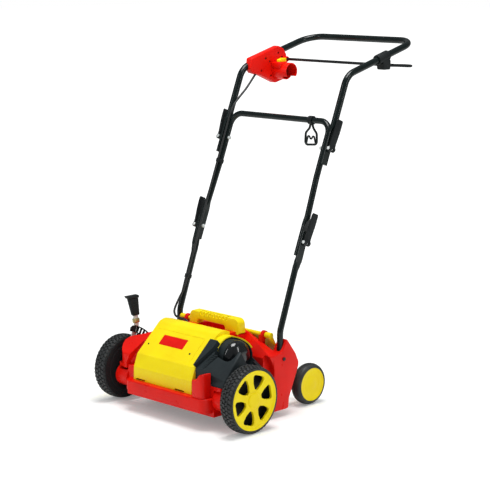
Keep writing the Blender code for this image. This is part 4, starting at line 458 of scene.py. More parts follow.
yellow = moulded("hood yellow", (0.93, 0.76, 0.004), (0.86, 0.66, 0.003), (0.95, 0.86, 0.25), (0.3, 0.42),
    coat=0.04)
red = moulded("deck red", (0.8, 0.007, 0.002), (0.68, 0.005, 0.002), (0.8, 0.12, 0.08), (0.27, 0.4),
    coat=0.04)
charcoal = moulded("cover charcoal", (0.022, 0.03, 0.033), (0.015, 0.021, 0.024), (0.08, 0.1, 0.1),
    (0.34, 0.5))
black = moulded("grip black", (0.016, 0.019, 0.02), (0.01, 0.012, 0.013), (0.06, 0.065, 0.065), (0.34, 0.52))
dome_black = moulded("dome black", (0.008, 0.01, 0.011), (0.005, 0.006, 0.007), (0.02, 0.025, 0.025),
    (0.1, 0.16), coat=0.6, mirror=0.3)
print("plastics:", [m.name for m in (yellow, red, charcoal, black, dome_black)])


# %% Coated tube, metals and rubber
def coated_tube():
    """Glossy dark coating with a slight orange peel."""
    made, tree, shader = new_finish("coated tube")
    base = mixed(tree, spread(tree, cloud(tree, 14.0), 0.0, 1.0), (0.005, 0.01, 0.01), (0.003, 0.007, 0.007))
    nicks = mixed(tree, spread(tree, cloud(tree, 420.0, 3.0), 0.0, 0.5, 0.7, 0.8), base, (0.09, 0.1, 0.1))
    plug(tree, shader, Base_Color=nicks, Roughness=spread(tree, cloud(tree, 60.0, 4.0), 0.2, 0.34))
    bumped(tree, shader, cloud(tree, 330.0, 1.0), 0.1, 0.0004)
    put(shader, Specular_IOR_Level=0.22, Coat_Weight=0.25, Coat_Roughness=0.1)
    return made


def metal(name, colour, dull, gloss, brush=(1.0, 1.0, 1.0), scale=220.0, shine=1.0):
    """Metal with brushed streaks and duller patches."""
    made, tree, shader = new_finish(name)
    put(shader, Metallic=shine)
    patches = mixed(tree, spread(tree, cloud(tree, 25.0, 5.0), 0.0, 1.0), colour, dull)
    plug(tree, shader, Base_Color=patches, Roughness=spread(tree, cloud(tree, scale, 4.0, brush), *gloss))
    bumped(tree, shader, cloud(tree, scale * 3, 2.0, brush), 0.1, 0.0002)
    return made


def rubber(name, colour, dust, gloss, grain=700.0):
    """Matt rubber, paler where dust sits."""
    made, tree, shader = new_finish(name)
    dusty = spread(tree, cloud(tree, 55.0, 6.0), 0.0, 0.6, 0.45, 0.7)
    plug(tree, shader, Base_Color=mixed(tree, dusty, colour, dust),
        Roughness=spread(tree, cloud(tree, 30.0, 4.0), *gloss))
    bumped(tree, shader, cloud(tree, grain, 3.0), 0.22, 0.0004)
    return made


tube_coat = coated_tube()
zinc = metal("zinc plate", (0.78, 0.81, 0.8), (0.58, 0.62, 0.62), (0.28, 0.42), shine=0.3)
bare_steel = metal("bare steel", (0.42, 0.42, 0.43), (0.28, 0.28, 0.29), (0.32, 0.5), (0.2, 1.0, 1.0))
dark_steel = metal("blackened steel", (0.05, 0.05, 0.052), (0.03, 0.03, 0.032), (0.3, 0.45))
blade_steel = metal("blade steel", (0.34, 0.34, 0.35), (0.2, 0.19, 0.18), (0.35, 0.55), (1.0, 0.2, 1.0))
cast_metal = metal("cast aluminium", (0.55, 0.56, 0.57), (0.42, 0.43, 0.44), (0.45, 0.65), scale=500.0)
brass = metal("brass plate", (0.6, 0.54, 0.27), (0.46, 0.41, 0.2), (0.3, 0.44))
tyre_rubber = rubber("tyre rubber", (0.02, 0.023, 0.024), (0.05, 0.055, 0.056), (0.45, 0.65))
belt_rubber = rubber("belt rubber", (0.012, 0.012, 0.012), (0.03, 0.03, 0.03), (0.6, 0.8), 1200.0)
cable_skin = rubber("cable sheath", (0.014, 0.016, 0.017), (0.022, 0.024, 0.025), (0.4, 0.55), 1500.0)
print("finishes in all:", len([m for m in bpy.data.materials if m.use_nodes]))

# %% [markdown]
# ## Fitting a piece
# A finished piece gets its finish, smooth shading that stays crisp at real edges, and its place on the
# frame. The slide along Y moves the mesh itself, so the object stays at the origin. Then it rides on its
# body, and the plain CAD solid it stands for is hidden.


def fit(piece, body, finish, *nodes, angle=35, ride=True, slot=None):
    """Dresses a piece and puts it on its body in place of CAD nodes; edges flatter than angle look smooth."""
    only(piece)
    bpy.ops.object.shade_smooth_by_angle(angle=radians(angle))
    piece.data.transform(Matrix.Translation((0, AXLE_Y, 0)))
    piece.data.materials.clear()
    piece.data.materials.append(finish)
    if ride:
        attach(piece, body)
    if nodes:
        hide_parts(*nodes)
    print("fitted", piece.name, len(piece.data.polygons), "faces")
    return piece


# %% [markdown]
# ## The hood
# The yellow hood is one thin moulded shell: a steep front, a fold, a long slope, and a rounded brow over the
# motor. Its profile is a flat outline with every corner turned, pushed across the machine, so the fold and
# the brow stay parallel. The left edge gets a large soft radius, as in the photograph. The right edge
# spreads into a flare and an arch round the motor's drum.

# %% Places on the hood's slope
CREASE = Vector((-0.055, 0.173))
BROW = Vector((0.03, 0.252))
SLOPE = Vector((0, BROW.x - CREASE.x, BROW.y - CREASE.y)).normalized()
SLOPE_OUT = Vector((0, -SLOPE.z, SLOPE.y))
MOTOR = (0.062, 0.195)
SEAM_Z = 0.0955  # where hood, fender and post end above the apron


def on_slope(x, up, out=0.0):
    """A point on the slope, a distance up from the fold and out from the surface."""
    return Vector((x, *CREASE)) + SLOPE * up + SLOPE_OUT * out


def slope_slab(name, corners, below, above):
    """A slab lying on the slope from (x, up) corners."""
    return slab(name, [on_slope(x, up, -below) for x, up in corners], SLOPE_OUT * (below + above))


def flare_slab(grown):
    """The spread right edge of the hood, or with a clearance the space that it needs."""
    foot = 0.004 - grown * 2
    corners = [(0.105, foot), (0.109 + grown, foot), (0.135 + grown, 0.074), (0.135 + grown, 0.1),
        (0.105, 0.1)]
    return slope_slab("flare", corners, 0.0065 + grown, 0.01 if grown else 0.0)


def behind_dome(grown):
    """All outside a slanting line in plan: the arch runs further out behind the dome than above it."""
    start = 0.134 + grown
    return slab_z("outside", [(start, -0.2), (start, 0.066), (start + 0.0445, 0.118), (start + 0.0445, 0.3),
        (0.35, 0.3), (0.35, -0.2)], 0.0, 0.5)


# %% Hood shell
hood_profile = rounded([(-0.0712, SEAM_Z), (-0.0698, 0.1335), (-0.055, 0.173), (0.0365, 0.258),
    (0.058, 0.2655), (0.088, 0.2585), (0.088, SEAM_Z)], [0, 0.008, 0.01, 0.026, 0.03, 0.003, 0], 6)
hood = slab_x("hood_shell", hood_profile, -0.144, 0.109)
round_edges(hood, lambda a, b: max(a.x, b.x) < -0.1439 and max(a.z, b.z) > 0.0956 and min(a.y, b.y) < 0.0879,
    0.01, 6)
round_edges(hood, lambda a, b: min(a.x, b.x) > 0.1089 and max(a.z, b.z) > 0.18, 0.0025, 3)
arch = lathe("arch", [(0.104, 0.0515), (0.104, 0.058), (0.1325, 0.058), (0.1343, 0.0572), (0.135, 0.0553),
    (0.1345, 0.053), (0.133, 0.0515)], *MOTOR)
carve(arch, below(0.173))
rear_arch = lathe("rear arch", [(0.12, 0.0545), (0.12, 0.058), (0.1772, 0.058), (0.1785, 0.0572),
    (0.1785, 0.0553), (0.1775, 0.0545)], *MOTOR)
carve(rear_arch, behind_dome(0.0), below(0.2155))
unite(hood, arch, rear_arch, soften(flare_slab(0), 0.0018))
inner = [(-0.0723, 0.08), (-0.0517, 0.1717), (0.0375, 0.2545), (0.058, 0.2622), (0.1, 0.2523), (0.1, 0.08)]
carve(hood, slab_x("hollow", inner, -0.141, 0.106),
    block("deck space", (-0.3, -0.0553, 0), (0.3, 0.3, 0.1303)),
    bar_x("drum space", 0.1088, 0.3, *MOTOR, 0.0515, 96))
print("hood shell:", len(hood.data.polygons), "faces")

# %% Hood details
grooves = []
for x0, up0, x1, up1, deep in ((-0.128, 0.099, 0.0762, 0.1002, 0.0009), (0.075, 0.01, 0.0762, 0.0996, 0.0009),
        (-0.0875, 0.047, 0.0175, 0.083, 0.0012)):
    grooves.append(slope_slab("groove", [(x0, up0), (x1, up0), (x1, up1), (x0, up1)], deep, 0.01))
for x in (-0.113, 0.058):
    slot = block("slot", (x - 0.021, -0.09, 0.0958), (x + 0.021, -0.06, 0.1005))
    grooves.append(soften(slot, 0.0012, 2, 30))
HOOD_SCREWS = (-0.126, 0.055)
for x in HOOD_SCREWS:
    grooves.append(bar("screw well", on_slope(x, 0.04, -0.0014), on_slope(x, 0.04, 0.01), 0.0036, 24))
carve(hood, *grooves)
fit(hood, "deck", yellow, "motor_hood", angle=32)
plate_edge = rounded([(-0.087, 0.0475), (0.017, 0.0475), (0.017, 0.0825), (-0.087, 0.0825)], 0.004, 4)
plate = slope_slab("hood_label_plate", plate_edge, 0.0011, -0.0001)
fit(soften(plate, 0.0003, 2), "deck", red, "hood_plate", angle=38)

# %% [markdown]
# ## The motor's drum
# The motor ends in a short round drum closed by a glossy dome. It is turned from one half profile. The drum
# is a matt skirt and the dome a polished cap, so they are two pieces, parted by the thin line that shows
# between them on the real machine.

# %% Drum and dome
dome = [(0.1575, 0.03), (0.1575, 0.0488), (0.159, 0.0497)]
DOME_STEPS = 15
for k in range(1, DOME_STEPS):
    a = radians(90 * k / DOME_STEPS)
    dome.append((0.159 + 0.032 * sin(a), 0.0497 * cos(a) ** 0.72))
dome += [(0.191, 0.0), (0.18, 0.0), (0.18, 0.02)]
fit(lathe("motor_dome", dome, *MOTOR), "deck", dome_black, "motor_end", angle=38)
drum = [(0.1093, 0.04), (0.1093, 0.05), (0.14, 0.05), (0.1406, 0.0494), (0.1424, 0.0494), (0.143, 0.05),
    (0.156, 0.05), (0.1572, 0.049), (0.1572, 0.04)]
fit(lathe("motor_drum_skirt", drum, *MOTOR), "deck", charcoal, "motor_end", angle=38, slot="gloss_black")

# %% [markdown]
# ## The drive cover
# A dark block fills the corner between hood, drum and wheel. Its left end follows the hood's profile and its
# right end is lower, so the slab's far corners are dragged to a second outline before it is softened. A
# turned bowl is scooped out of it round the dome, which leaves a pointed fin at the right end. A ribbed
# strip runs up beside the hood's flare. Behind the dome, a thin lining follows the hood's arch and a wall
# closes the gap.

# %% Drive cover block
cover_left = [(-0.055, 0.1303), (-0.055, 0.172), (0.0, 0.2231), (0.045, 0.24), (0.08, 0.236), (0.12, 0.222),
    (0.12, 0.1303)]
cover_right = [(-0.055, 0.1303), (-0.045, 0.15), (-0.013, 0.186), (0.024, 0.224), (0.05, 0.18), (0.12, 0.158),
    (0.12, 0.1303)]
cover = slab_x("drive_cover_shell", cover_left, 0.1097, 0.2225, cover_right)
edit_all(cover)
bpy.ops.mesh.quads_convert_to_tris(quad_method="BEAUTY", ngon_method="BEAUTY")
close()
soften(cover, 0.003, 4, 27)
strip = slope_slab("strip", [(0.1108, 0.001), (0.1185, -0.001), (0.142, 0.062), (0.1345, 0.069)], 0.02,
    -0.0024)
STRIP_LEAN = 0.372
ribs = []
for k in range(9):
    up = 0.0045 + 0.0065 * k
    middle = 0.126 + STRIP_LEAN * up
    ribs.append(slope_slab("rib", [(middle - 0.01, up), (middle + 0.0085, up), (middle + 0.0096, up + 0.003),
        (middle - 0.0089, up + 0.003)], 0.02, -0.004))
unite(cover, soften(strip, 0.001, 2), *ribs)
print("cover block:", len(cover.data.polygons), "faces")

# %% Drive cover bowl and lining
bowl = lathe("bowl", [(0.1385, 0.0), (0.1385, 0.064), (0.1405, 0.069), (0.144, 0.0705), (0.186, 0.0705),
    (0.196, 0.0685), (0.204, 0.063), (0.21, 0.054), (0.2135, 0.044), (0.2145, 0.03), (0.2145, 0.0)], *MOTOR)
carve(bowl, block("rear wall", (0, 0.1, 0), (0.3, 0.3, 0.4)),
    block("bowl floor", (0, -0.2, 0), (0.3, 0.3, 0.142)))
arch_space = lathe("arch space", [(0.125, 0.0542), (0.125, 0.0586), (0.1792, 0.0586), (0.1792, 0.0542)],
    *MOTOR)
carve(arch_space, below(0.215))
carve(cover, bar_x("cradle", 0.1, 0.1942, *MOTOR, 0.0515, 96),
    bar_x("arch space", 0.1, 0.1355, *MOTOR, 0.0585, 96), bowl, arch_space, flare_slab(0.0004))
lining = lathe("lining", [(0.1362, 0.0508), (0.1362, 0.0538), (0.1775, 0.0538), (0.1788, 0.0531),
    (0.1788, 0.0515), (0.1778, 0.0508)], *MOTOR)
carve(lining, behind_dome(0.0006), below(0.15), block("front", (0, -0.2, 0), (0.3, 0.064, 0.4)))
wall = slab_z("dome wall", [(0.1362, 0.101), (0.1362, 0.1085), (0.164, 0.1085), (0.17, 0.101)], 0.15, 0.227)
carve(wall, lathe("outside", [(0.1, 0.05), (0.1, 0.12), (0.25, 0.12), (0.25, 0.05)], *MOTOR))
gather(cover, lining, wall)
fit(cover, "deck", charcoal, "drive_cover", angle=28)

# %% [markdown]
# ## The red deck
# The deck is the big moulding that carries everything. It is made as on a workbench: simple soft blocks for
# the tub, the saddle behind the hood, the left fender, the post at the front and the two pillars, then
# melted into one body, and hollowed from below with a second set of smaller blocks. Softening each block
# before the melt keeps the wide radii of a moulding while the lines where blocks meet stay crisp.

# %% Deck outlines
HALF = 0.2335
FRONT_HUB, REAR_HUB, HINGE = (0.0, 0.1), (0.346, 0.064), (0.178, 0.243)
FOOT_X, FOOT_Y = 0.2175, 0.1915  # where the handle stands in the deck
SADDLE_ACROSS = [(-HALF, 0.1), (-HALF, 0.197), (-0.1, 0.25), (0.1, 0.25), (HALF, 0.197), (HALF, 0.1)]
PILLAR = rounded([(0.15, 0.022), (0.15, 0.195), (0.182, 0.199), (0.203, 0.236), (0.21, 0.232),
    (0.245, 0.186), (0.258, 0.159), (0.258, 0.146), (0.217, 0.052), (0.215, 0.022)],
    [0, 0.006, 0.012, 0.005, 0.006, 0.016, 0.01, 0.01, 0.012, 0], 5)


def shrunk(outline, distance):
    """A closed outline with every side moved inwards."""
    count = len(outline)
    area = sum(outline[i - 1][0] * outline[i][1] - outline[i][0] * outline[i - 1][1] for i in range(count))
    side = 1 if area > 0 else -1
    moved = []
    for i in range(count):
        before, here, after = (Vector(outline[(i + k) % count]) for k in (-1, 0, 1))
        first = (here - before).normalized()
        second = (after - here).normalized()
        n1 = Vector((-first.y, first.x)) * side
        n2 = Vector((-second.y, second.x)) * side
        moved.append(tuple(here + (n1 + n2) * distance / (1 + n1.dot(n2))))
    return moved


def corner_spaces(grown):
    """The open front corners round the axle bosses, or with a wall's thickness added."""
    return [block_on(side, "corner space", (0.187 - grown, -0.1, 0.0), (0.26, -0.012 + grown, 0.1195 + grown))
        for side in (1, -1)]


def wheel_well(start, radius):
    """The round hollow behind the right front wheel."""
    return bar_x("wheel well", start, 0.26, *FRONT_HUB, radius, 128)


def fender_notch(grown):
    """The slanting recess between the fender and the hood."""
    near = [(-0.189 - grown, 0.05), (-0.189 - grown, 0.137), (-0.147 - grown, 0.223), (-0.13, 0.223),
        (-0.13, 0.05)]
    notch = slab_y("fender notch", near, -0.1, -0.01 + grown)
    slant = slab_z("slant", [(-0.24, -0.044 + grown), (-0.19, -0.044 + grown), (-0.13, 0.006 + grown),
        (-0.13, 0.1), (-0.24, 0.1)], 0.0, 0.3)
    return carve(notch, slant)


# %% Deck body
deck = block("deck_shell", (-HALF, -0.055, 0.022), (HALF, 0.215, 0.13))
round_edges(deck, lambda a, b: abs(a.z - b.z) > 0.05, 0.012, 5)
saddle = slab_y("saddle", rounded(SADDLE_ACROSS, [0, 0.012, 0.014, 0.014, 0.012, 0]), 0.0885, 0.165)
carve(saddle, block("step", (0.102, 0.0, 0.13), (0.3, 0.1212, 0.3)),
    slab_x("front slope", [(0.1, 0.1575), (0.1212, 0.188), (0.166, 0.2525), (0.166, 0.3), (0.1, 0.3)], 0.112,
    0.3))
round_edges(saddle, lambda a, b: abs(a.y - b.y) < 1e-4 and min(a.z, b.z) > 0.12, 0.006, 5)
fender_side = rounded([(-0.06, SEAM_Z), (-0.06, 0.163), (-0.024, 0.196), (0.02, 0.233), (0.1, 0.233),
    (0.1, SEAM_Z)], [0, 0.022, 0.07, 0.03, 0, 0], 10)
fender = slab_x("fender", fender_side, -HALF, -0.1446)
CORNER = 0.04
round_corner = [(-HALF, -0.02)]
for k in range(1, 10):
    turn = radians(10 * k)
    round_corner.append((-HALF + CORNER - CORNER * cos(turn), -0.02 - CORNER * sin(turn)))
round_corner += [(-0.193, -0.095), (-0.26, -0.095), (-0.26, -0.02)]
carve(fender, slab_z("corner space", round_corner, 0.09, 0.3))
across = rounded([(-HALF, 0.09), (-HALF, 0.194), (-0.224, 0.204), (-0.19, 0.2135), (-0.144, 0.23),
    (-0.144, 0.26), (-0.26, 0.26), (-0.26, 0.09)], [0, 0.012, 0.01, 0.03, 0, 0, 0, 0], 6)
carve(fender, slab_y("over fender", [across[-1], across[0], *across[1:-1]], -0.1, 0.2))
soften(fender, 0.0045, 4, 32)
post = slab_y("post", [(0.128, SEAM_Z), (0.128, 0.1465), (0.146, 0.149), (0.158, 0.1655), (0.1745, 0.17),
    (0.1745, SEAM_Z)], -0.0875, -0.0535)
round_edges(post, lambda a, b: max(a.y, b.y) < -0.0874 and min(a.x, b.x) > 0.1744, 0.012, 6)
soften(post, 0.0022)
carve(fender, fender_notch(0.0), block("fender end", (-0.3, -0.1, 0.0), (-0.1, -0.012, 0.1195)))
unite(deck, saddle, fender, post)
carve(deck, *corner_spaces(0.0), block("front edge", (-0.3, -0.1, 0.0), (0.3, -0.004, 0.038)),
    wheel_well(0.215, 0.16))
for side in (1, -1):
    boss = bar_x("boss", side * 0.1865, side * 0.2385, -0.03, 0.088, 0.033, 64)
    unite(deck, soften(boss, 0.0025, 3, 30))
    unite(deck, soften(slab_x("pillar", PILLAR, side * (HALF - 0.0365), side * HALF), 0.0045, 4))
print("deck body:", len(deck.data.polygons), "faces")

# %% Deck recesses and hollows
for side in (1, -1):
    recess = slab_x("recess", rounded([(0.062, 0.045), (0.062, 0.158), (0.1435, 0.176), (0.1435, 0.045)],
        0.016, 6), side * (HALF - 0.0055), side * (HALF + 0.01))
    carve(deck, soften(recess, 0.004, 4))
    carve(deck, slab_x("seam", rectangle(0.1472, 0.05, 0.149, 0.182), side * (HALF - 0.0015),
        side * (HALF + 0.01)))
tub_space = block("tub space", (-HALF + 0.009, -0.052, 0.0), (HALF - 0.009, 0.212, 0.127))
carve(tub_space, *corner_spaces(0.004), wheel_well(0.211, 0.164))
saddle_space = slab_y("saddle space", shrunk(SADDLE_ACROSS, 0.009), 0.0915, 0.162)
carve(saddle_space, block("step wall", (0.093, 0.0, 0.0), (0.3, 0.13, 0.3)),
    slab_x("slope wall", [(0.1, 0.13), (0.13, 0.186), (0.17, 0.243), (0.17, 0.3), (0.1, 0.3)], 0.105, 0.3),
    wheel_well(0.211, 0.164))
fender_inside = shrunk([(-0.06, SEAM_Z), (-0.06, 0.165), (-0.027, 0.192), (0.02, 0.233), (0.1, 0.233),
    (0.1, SEAM_Z)], 0.006)
fender_space = slab_x("fender space", fender_inside, -HALF + 0.008, -0.15,
    [(y, min(z, 0.205)) for y, z in fender_inside])
carve(fender_space, fender_notch(0.005))
carve(deck, tub_space, saddle_space, fender_space,
    block("right rear step space", (0.101, 0.05, 0.1309), (0.232, 0.1209, 0.3)))
print("hollow deck:", len(deck.data.polygons), "faces")

# %% Wells, sockets and hinge rings on the deck
for side in (1, -1):
    arm = rounded([(0.2, 0.056), (0.2, 0.124), (0.235, 0.124), (0.352, 0.083), (0.352, 0.045), (0.27, 0.048)],
        [0, 0, 0.01, 0.018, 0.018, 0.02], 6)
    unite(deck, soften(slab_x("arm", arm, side * 0.146, side * 0.166), 0.003),
        soften(bar_x("axle boss", side * 0.146, side * 0.1675, *REAR_HUB, 0.02), 0.002, 2),
        block_on(side, "socket wall", (0.2045, 0.178, 0.112), (0.2325, 0.205, 0.198)),
        soften(bar_x("hinge ring", side * 0.159, side * 0.171, *HINGE, 0.0125), 0.002),
        block_on(side, "hinge lug", (0.1592, 0.16, 0.205), (0.1708, 0.175, 0.2448)))
unite(deck, block("well wall", (-0.066, 0.101, 0.212), (0.06, 0.164, 0.2448)))
carve(deck, soften(block("finger well", (-0.06, 0.107, 0.217), (0.054, 0.158, 0.3)), 0.004, 3, 30),
    bar_x("tunnel space", -0.164, 0.164, 0.115, 0.07, 0.0745, 64),
    block("outlet", (-0.14, 0.155, -0.01), (0.14, 0.23, 0.2)),
    bar_x("motor space", -0.116, 0.1095, *MOTOR, 0.0418, 64),
    bar("cable hole", (-0.1425, 0.153, 0.2), (-0.1425, 0.153, 0.27), 0.0065, 24))
for side in (1, -1):
    carve(deck, bar("tube socket", (side * FOOT_X, FOOT_Y, 0.1147), (side * FOOT_X, FOOT_Y, 0.3), 0.0104, 40),
        bar_x("barrel space", side * 0.153, side * 0.177, *HINGE, 0.007, 32),
        bar_x("bolt seat", side * 0.2318, side * 0.25, FOOT_Y, 0.177, 0.0062, 24))
carve(deck, bar_x("fender hole", -0.26, -0.23, -0.038, 0.1094, 0.0045, 20))
fit(deck, "deck", red, "chassis", angle=30)

# %% [markdown]
# ## The apron and the carry handle
# The apron is a bumper of one height that turns back at both ends, so its plan is drawn from above and
# pushed up. A stepped lower edge and a rolled lip catch the light. The carry handle is a stout arch with an
# oval grip: its outline is drawn from the front, pushed back, and every edge is rolled over until the
# section is round.

# %% Apron
APRON_BACK = -0.0553
plan = rounded(rectangle(-0.168, APRON_BACK, 0.186, -0.0905), [0, 0.022, 0.028, 0], 10)
apron = slab_z("front_apron_shell", plan, 0.052, 0.0952)
round_edges(apron, lambda a, b: min(a.z, b.z) > 0.0951 and min(a.y, b.y) < -0.056, 0.0042, 5)
step_plan = rounded([(-0.3, APRON_BACK), (-0.3, -0.2), (0.3, -0.2), (0.3, APRON_BACK), (0.1838, APRON_BACK),
    (0.1838, -0.0883), (-0.1658, -0.0883), (-0.1658, APRON_BACK)], [0, 0, 0, 0, 0, 0.026, 0.02, 0], 10)
inside = rounded(rectangle(-0.163, -0.03, 0.181, -0.0855), [0, 0.018, 0.024, 0], 10)
carve(apron, soften(slab_z("step", step_plan, 0.04, 0.064), 0.0012, 2, 60),
    slab_z("hollow", inside, 0.03, 0.0905),
    soften(block("slot", (-0.02, -0.1, 0.079), (0.04, -0.0897, 0.0812)), 0.0006, 2, 30))
fit(apron, "deck", red, "front_apron", angle=32)

# %% Carry handle
carry_front = rounded(rectangle(-0.098, 0.242, 0.112, 0.2885), [0, 0.017, 0.017, 0], 8)
carry = slab_y("carry_grip", carry_front, 0.121, 0.151)
round_edges(carry, lambda a, b: abs(a.y - b.y) < 1e-4 and min(a.z, b.z) > 0.2421, 0.0085, 6)
opening = rounded(rectangle(-0.066, 0.2, 0.054, 0.262), [0, 0.01, 0.01, 0], 8)
carve(carry, slab_y("opening", opening, 0.08, 0.19))
round_edges(carry, lambda a, b: abs(a.y - b.y) < 1e-4 and abs(abs(a.y - 0.136) - 0.015) < 1e-4
    and max(a.z, b.z) < 0.263 and max(abs(a.x + 0.006), abs(b.x + 0.006)) < 0.0605, 0.004, 4)
for k in range(9):
    x = 0.006 + (k - 4) * 0.014
    carve(carry, soften(block("groove", (x - 0.0034, 0.115, 0.2785), (x + 0.0034, 0.14, 0.3)), 0.001, 2, 30))
fit(carry, "deck", yellow, "carry_handle")

# %% [markdown]
# ## The rear flap
# A flap hangs from a thin barrel behind the handle and keeps the thatch down. The barrel runs through two
# red rings of the deck and ends in a cone on each side. The sheet is a slab between two lines seen from the
# side, with a lip turned up along its lower edge.

# %% Flap
flap_line = rounded([(0.1792, 0.2442), (0.2575, 0.1308), (0.2628, 0.1252), (0.2608, 0.123), (0.254, 0.1285),
    (0.1762, 0.2412)], [0.001, 0.004, 0.001, 0.001, 0.004, 0.001], 4)
flap = slab_x("rear_flap_sheet", flap_line, -0.188, 0.188)
carve(flap, *[bar_x("ring space", side * 0.1575, side * 0.1725, *HINGE, 0.0142, 40) for side in (1, -1)])
parts = [soften(bar_x("barrel", -0.1925, 0.1925, *HINGE, 0.0065, 40), 0.001, 2, 30)]
for k in range(-4, 5):
    parts.append(slab_x("stiffener", [(0.1885, 0.2306), (0.25, 0.1415), (0.2488, 0.137), (0.1855, 0.229)],
        k * 0.037 - 0.0012, k * 0.037 + 0.0012))
for side in (1, -1):
    x = side * 0.187
    parts.append(soften(bar("cone", (x, 0.1772, 0.2442), (x, 0.2036, 0.206), 0.0084, 40, 0.0045), 0.0012))
    parts.append(soften(bar_x("cone root", side * 0.1722, side * 0.1952, *HINGE, 0.0094, 40), 0.0022, 4))
gather(flap, *parts)
fit(flap, "rear_flap", yellow, "rear_flap")

# %% [markdown]
# ## Wheels
# A front wheel is a turned tyre, a turned rim with a dished disc, and a cap. Six rounded windows are cut
# through the disc, and dark plates and a dark cup close the wheel behind them: painted shade, so the
# windows look shaded inside. The tread is one small soft block, spun round the tyre by the duplicate form
# of the spin operator, in four rows that are turned half a pitch against each other, like the real chunky
# tread. A profile is given for the right side and turned over for the left.

# %% Front tyre
LUGS = 46
LUG_ROWS = ((-0.0158, 0.3, 0.0046), (-0.0053, -0.22, 0.0042), (0.0053, 0.22, 0.0042), (0.0158, -0.3, 0.0046))


def turned(name, side, profile, hub, steps=96):
    """A wheel's part from its (x, radius) profile on the right side."""
    return lathe(name, [(side * x, radius) for x, radius in profile], *hub, steps)


def front_tyre(name, side):
    """A grooved tyre with four rows of lugs, each given by its middle, lean and half width."""
    x = side * 0.2765
    shell = [(-0.023, 0.0888), (-0.023, 0.09), (-0.0222, 0.0916), (-0.023, 0.093), (-0.0226, 0.0942)]
    for k in range(7):
        a = radians(180 - 15 * k)
        shell.append((-0.015 + 0.0072 * cos(a), 0.0898 + 0.0054 * sin(a)))
    shell += [(-0.001, 0.0954), (0.001, 0.0954)]
    for k in range(7):
        a = radians(90 - 15 * k)
        shell.append((0.015 + 0.0072 * cos(a), 0.0898 + 0.0054 * sin(a)))
    shell += [(0.0226, 0.0942), (0.023, 0.093), (0.0222, 0.0916), (0.023, 0.09), (0.023, 0.0888)]
    tyre = lathe(name, [(x + dx, r) for dx, r in shell], *FRONT_HUB, 120)
    rows = []
    for row, (centre, lean, half) in enumerate(LUG_ROWS):
        lug = block("lug", (x + centre - half, -0.0046, 0.1925), (x + centre + half, 0.0046, 0.1999))
        for vert in lug.data.vertices:
            vert.co.y += (vert.co.x - x - centre) * lean
            if abs(vert.co.x - x) > 0.018 and vert.co.z > 0.197:
                vert.co.z -= 0.0022
        soften(lug, 0.0009, 1, 30)
        turn = Matrix.Rotation(pi / LUGS * (row % 2), 4, "X")
        lug.data.transform(Matrix.Translation((0, 0, 0.1)) @ turn @ Matrix.Translation((0, 0, -0.1)))
        edit_all(lug)
        bpy.ops.mesh.spin(steps=LUGS - 1, dupli=True, angle=2 * pi * (LUGS - 1) / LUGS,
            center=(x, *FRONT_HUB), axis=(1, 0, 0))
        bpy.ops.mesh.select_all(action="SELECT")
        bpy.ops.mesh.normals_make_consistent(inside=False)
        close()
        rows.append(lug)
    return gather(tyre, *rows)


for word, side in SIDES:
    fit(front_tyre("front_tyre_tread_" + word, side), "front_wheel_" + word, tyre_rubber,
        "front_tyre_" + word, angle=30)

# %% Front rim and cap
def rim_window(middle, side):
    """One window through the disc, wide at the rim and narrow at the hub."""
    corners = []
    for radius, turn in ((0.0778, -19.0), (0.0778, 19.0), (0.05, 19.5), (0.0325, 10.0), (0.0325, -10.0),
            (0.05, -19.5)):
        a = radians(middle + turn)
        corners.append((radius * cos(a), 0.1 + radius * sin(a)))
    radii = [0.008, 0.008, 0.016, 0.0045, 0.0045, 0.016]
    return slab_x("window", rounded(corners, radii, 5), side * 0.26, side * 0.31)


def front_rim(name, side):
    """The dished disc with its six windows."""
    disc = [(0.253, 0.017), (0.288, 0.017), (0.288, 0.0807), (0.253, 0.085), (0.253, 0.0885), (0.299, 0.0885),
        (0.2998, 0.088), (0.3, 0.087), (0.2992, 0.0852), (0.2965, 0.0822), (0.2955, 0.079), (0.2955, 0.03),
        (0.2962, 0.027), (0.2962, 0.0), (0.253, 0.0)]
    rim = turned(name, side, disc, FRONT_HUB, 128)
    carve(rim, *[rim_window(12 + 60 * k, side) for k in range(6)])
    return soften(rim, 0.0007, 2)


FRONT_CAP = [(0.295, 0.0), (0.295, 0.024), (0.2966, 0.024), (0.2974, 0.0236), (0.2986, 0.0222),
    (0.2993, 0.02), (0.2996, 0.015), (0.2998, 0.0)]


def painted_shade_backing(name, side):
    """Painted shade: dark plates that close the wheel's inner side and a dark cup right behind its windows,
    so they look shaded.
    """
    plate = [(0.25, 0.0182), (0.25, 0.03), (0.2508, 0.0308), (0.2508, 0.047), (0.25, 0.0478), (0.25, 0.072),
        (0.2508, 0.0728), (0.2508, 0.082), (0.25, 0.0828), (0.25, 0.0922), (0.2526, 0.0922), (0.2526, 0.0182)]
    # the cup is painted shade: a dark lining right behind the windows so that they look shaded inside
    shade_cup = [(0.268, 0.018), (0.268, 0.0802), (0.2874, 0.0802), (0.2874, 0.079), (0.27, 0.079), (0.27, 0.018)]
    return gather(turned(name, side, plate, FRONT_HUB), turned("painted shade behind windows", side, shade_cup, FRONT_HUB))


for word, side in SIDES:
    # the dark plates and cup are painted shade, seen through the wheel's windows
    fit(painted_shade_backing("front_wheel_painted_shade_" + word, side), "front_wheel_" + word, black)
    fit(front_rim("front_rim_dish_" + word, side), "front_wheel_" + word, yellow, "front_rim_" + word)
    fit(turned("front_cap_" + word, side, FRONT_CAP, FRONT_HUB), "front_wheel_" + word, yellow,
        "front_hub_cap_" + word, angle=30)

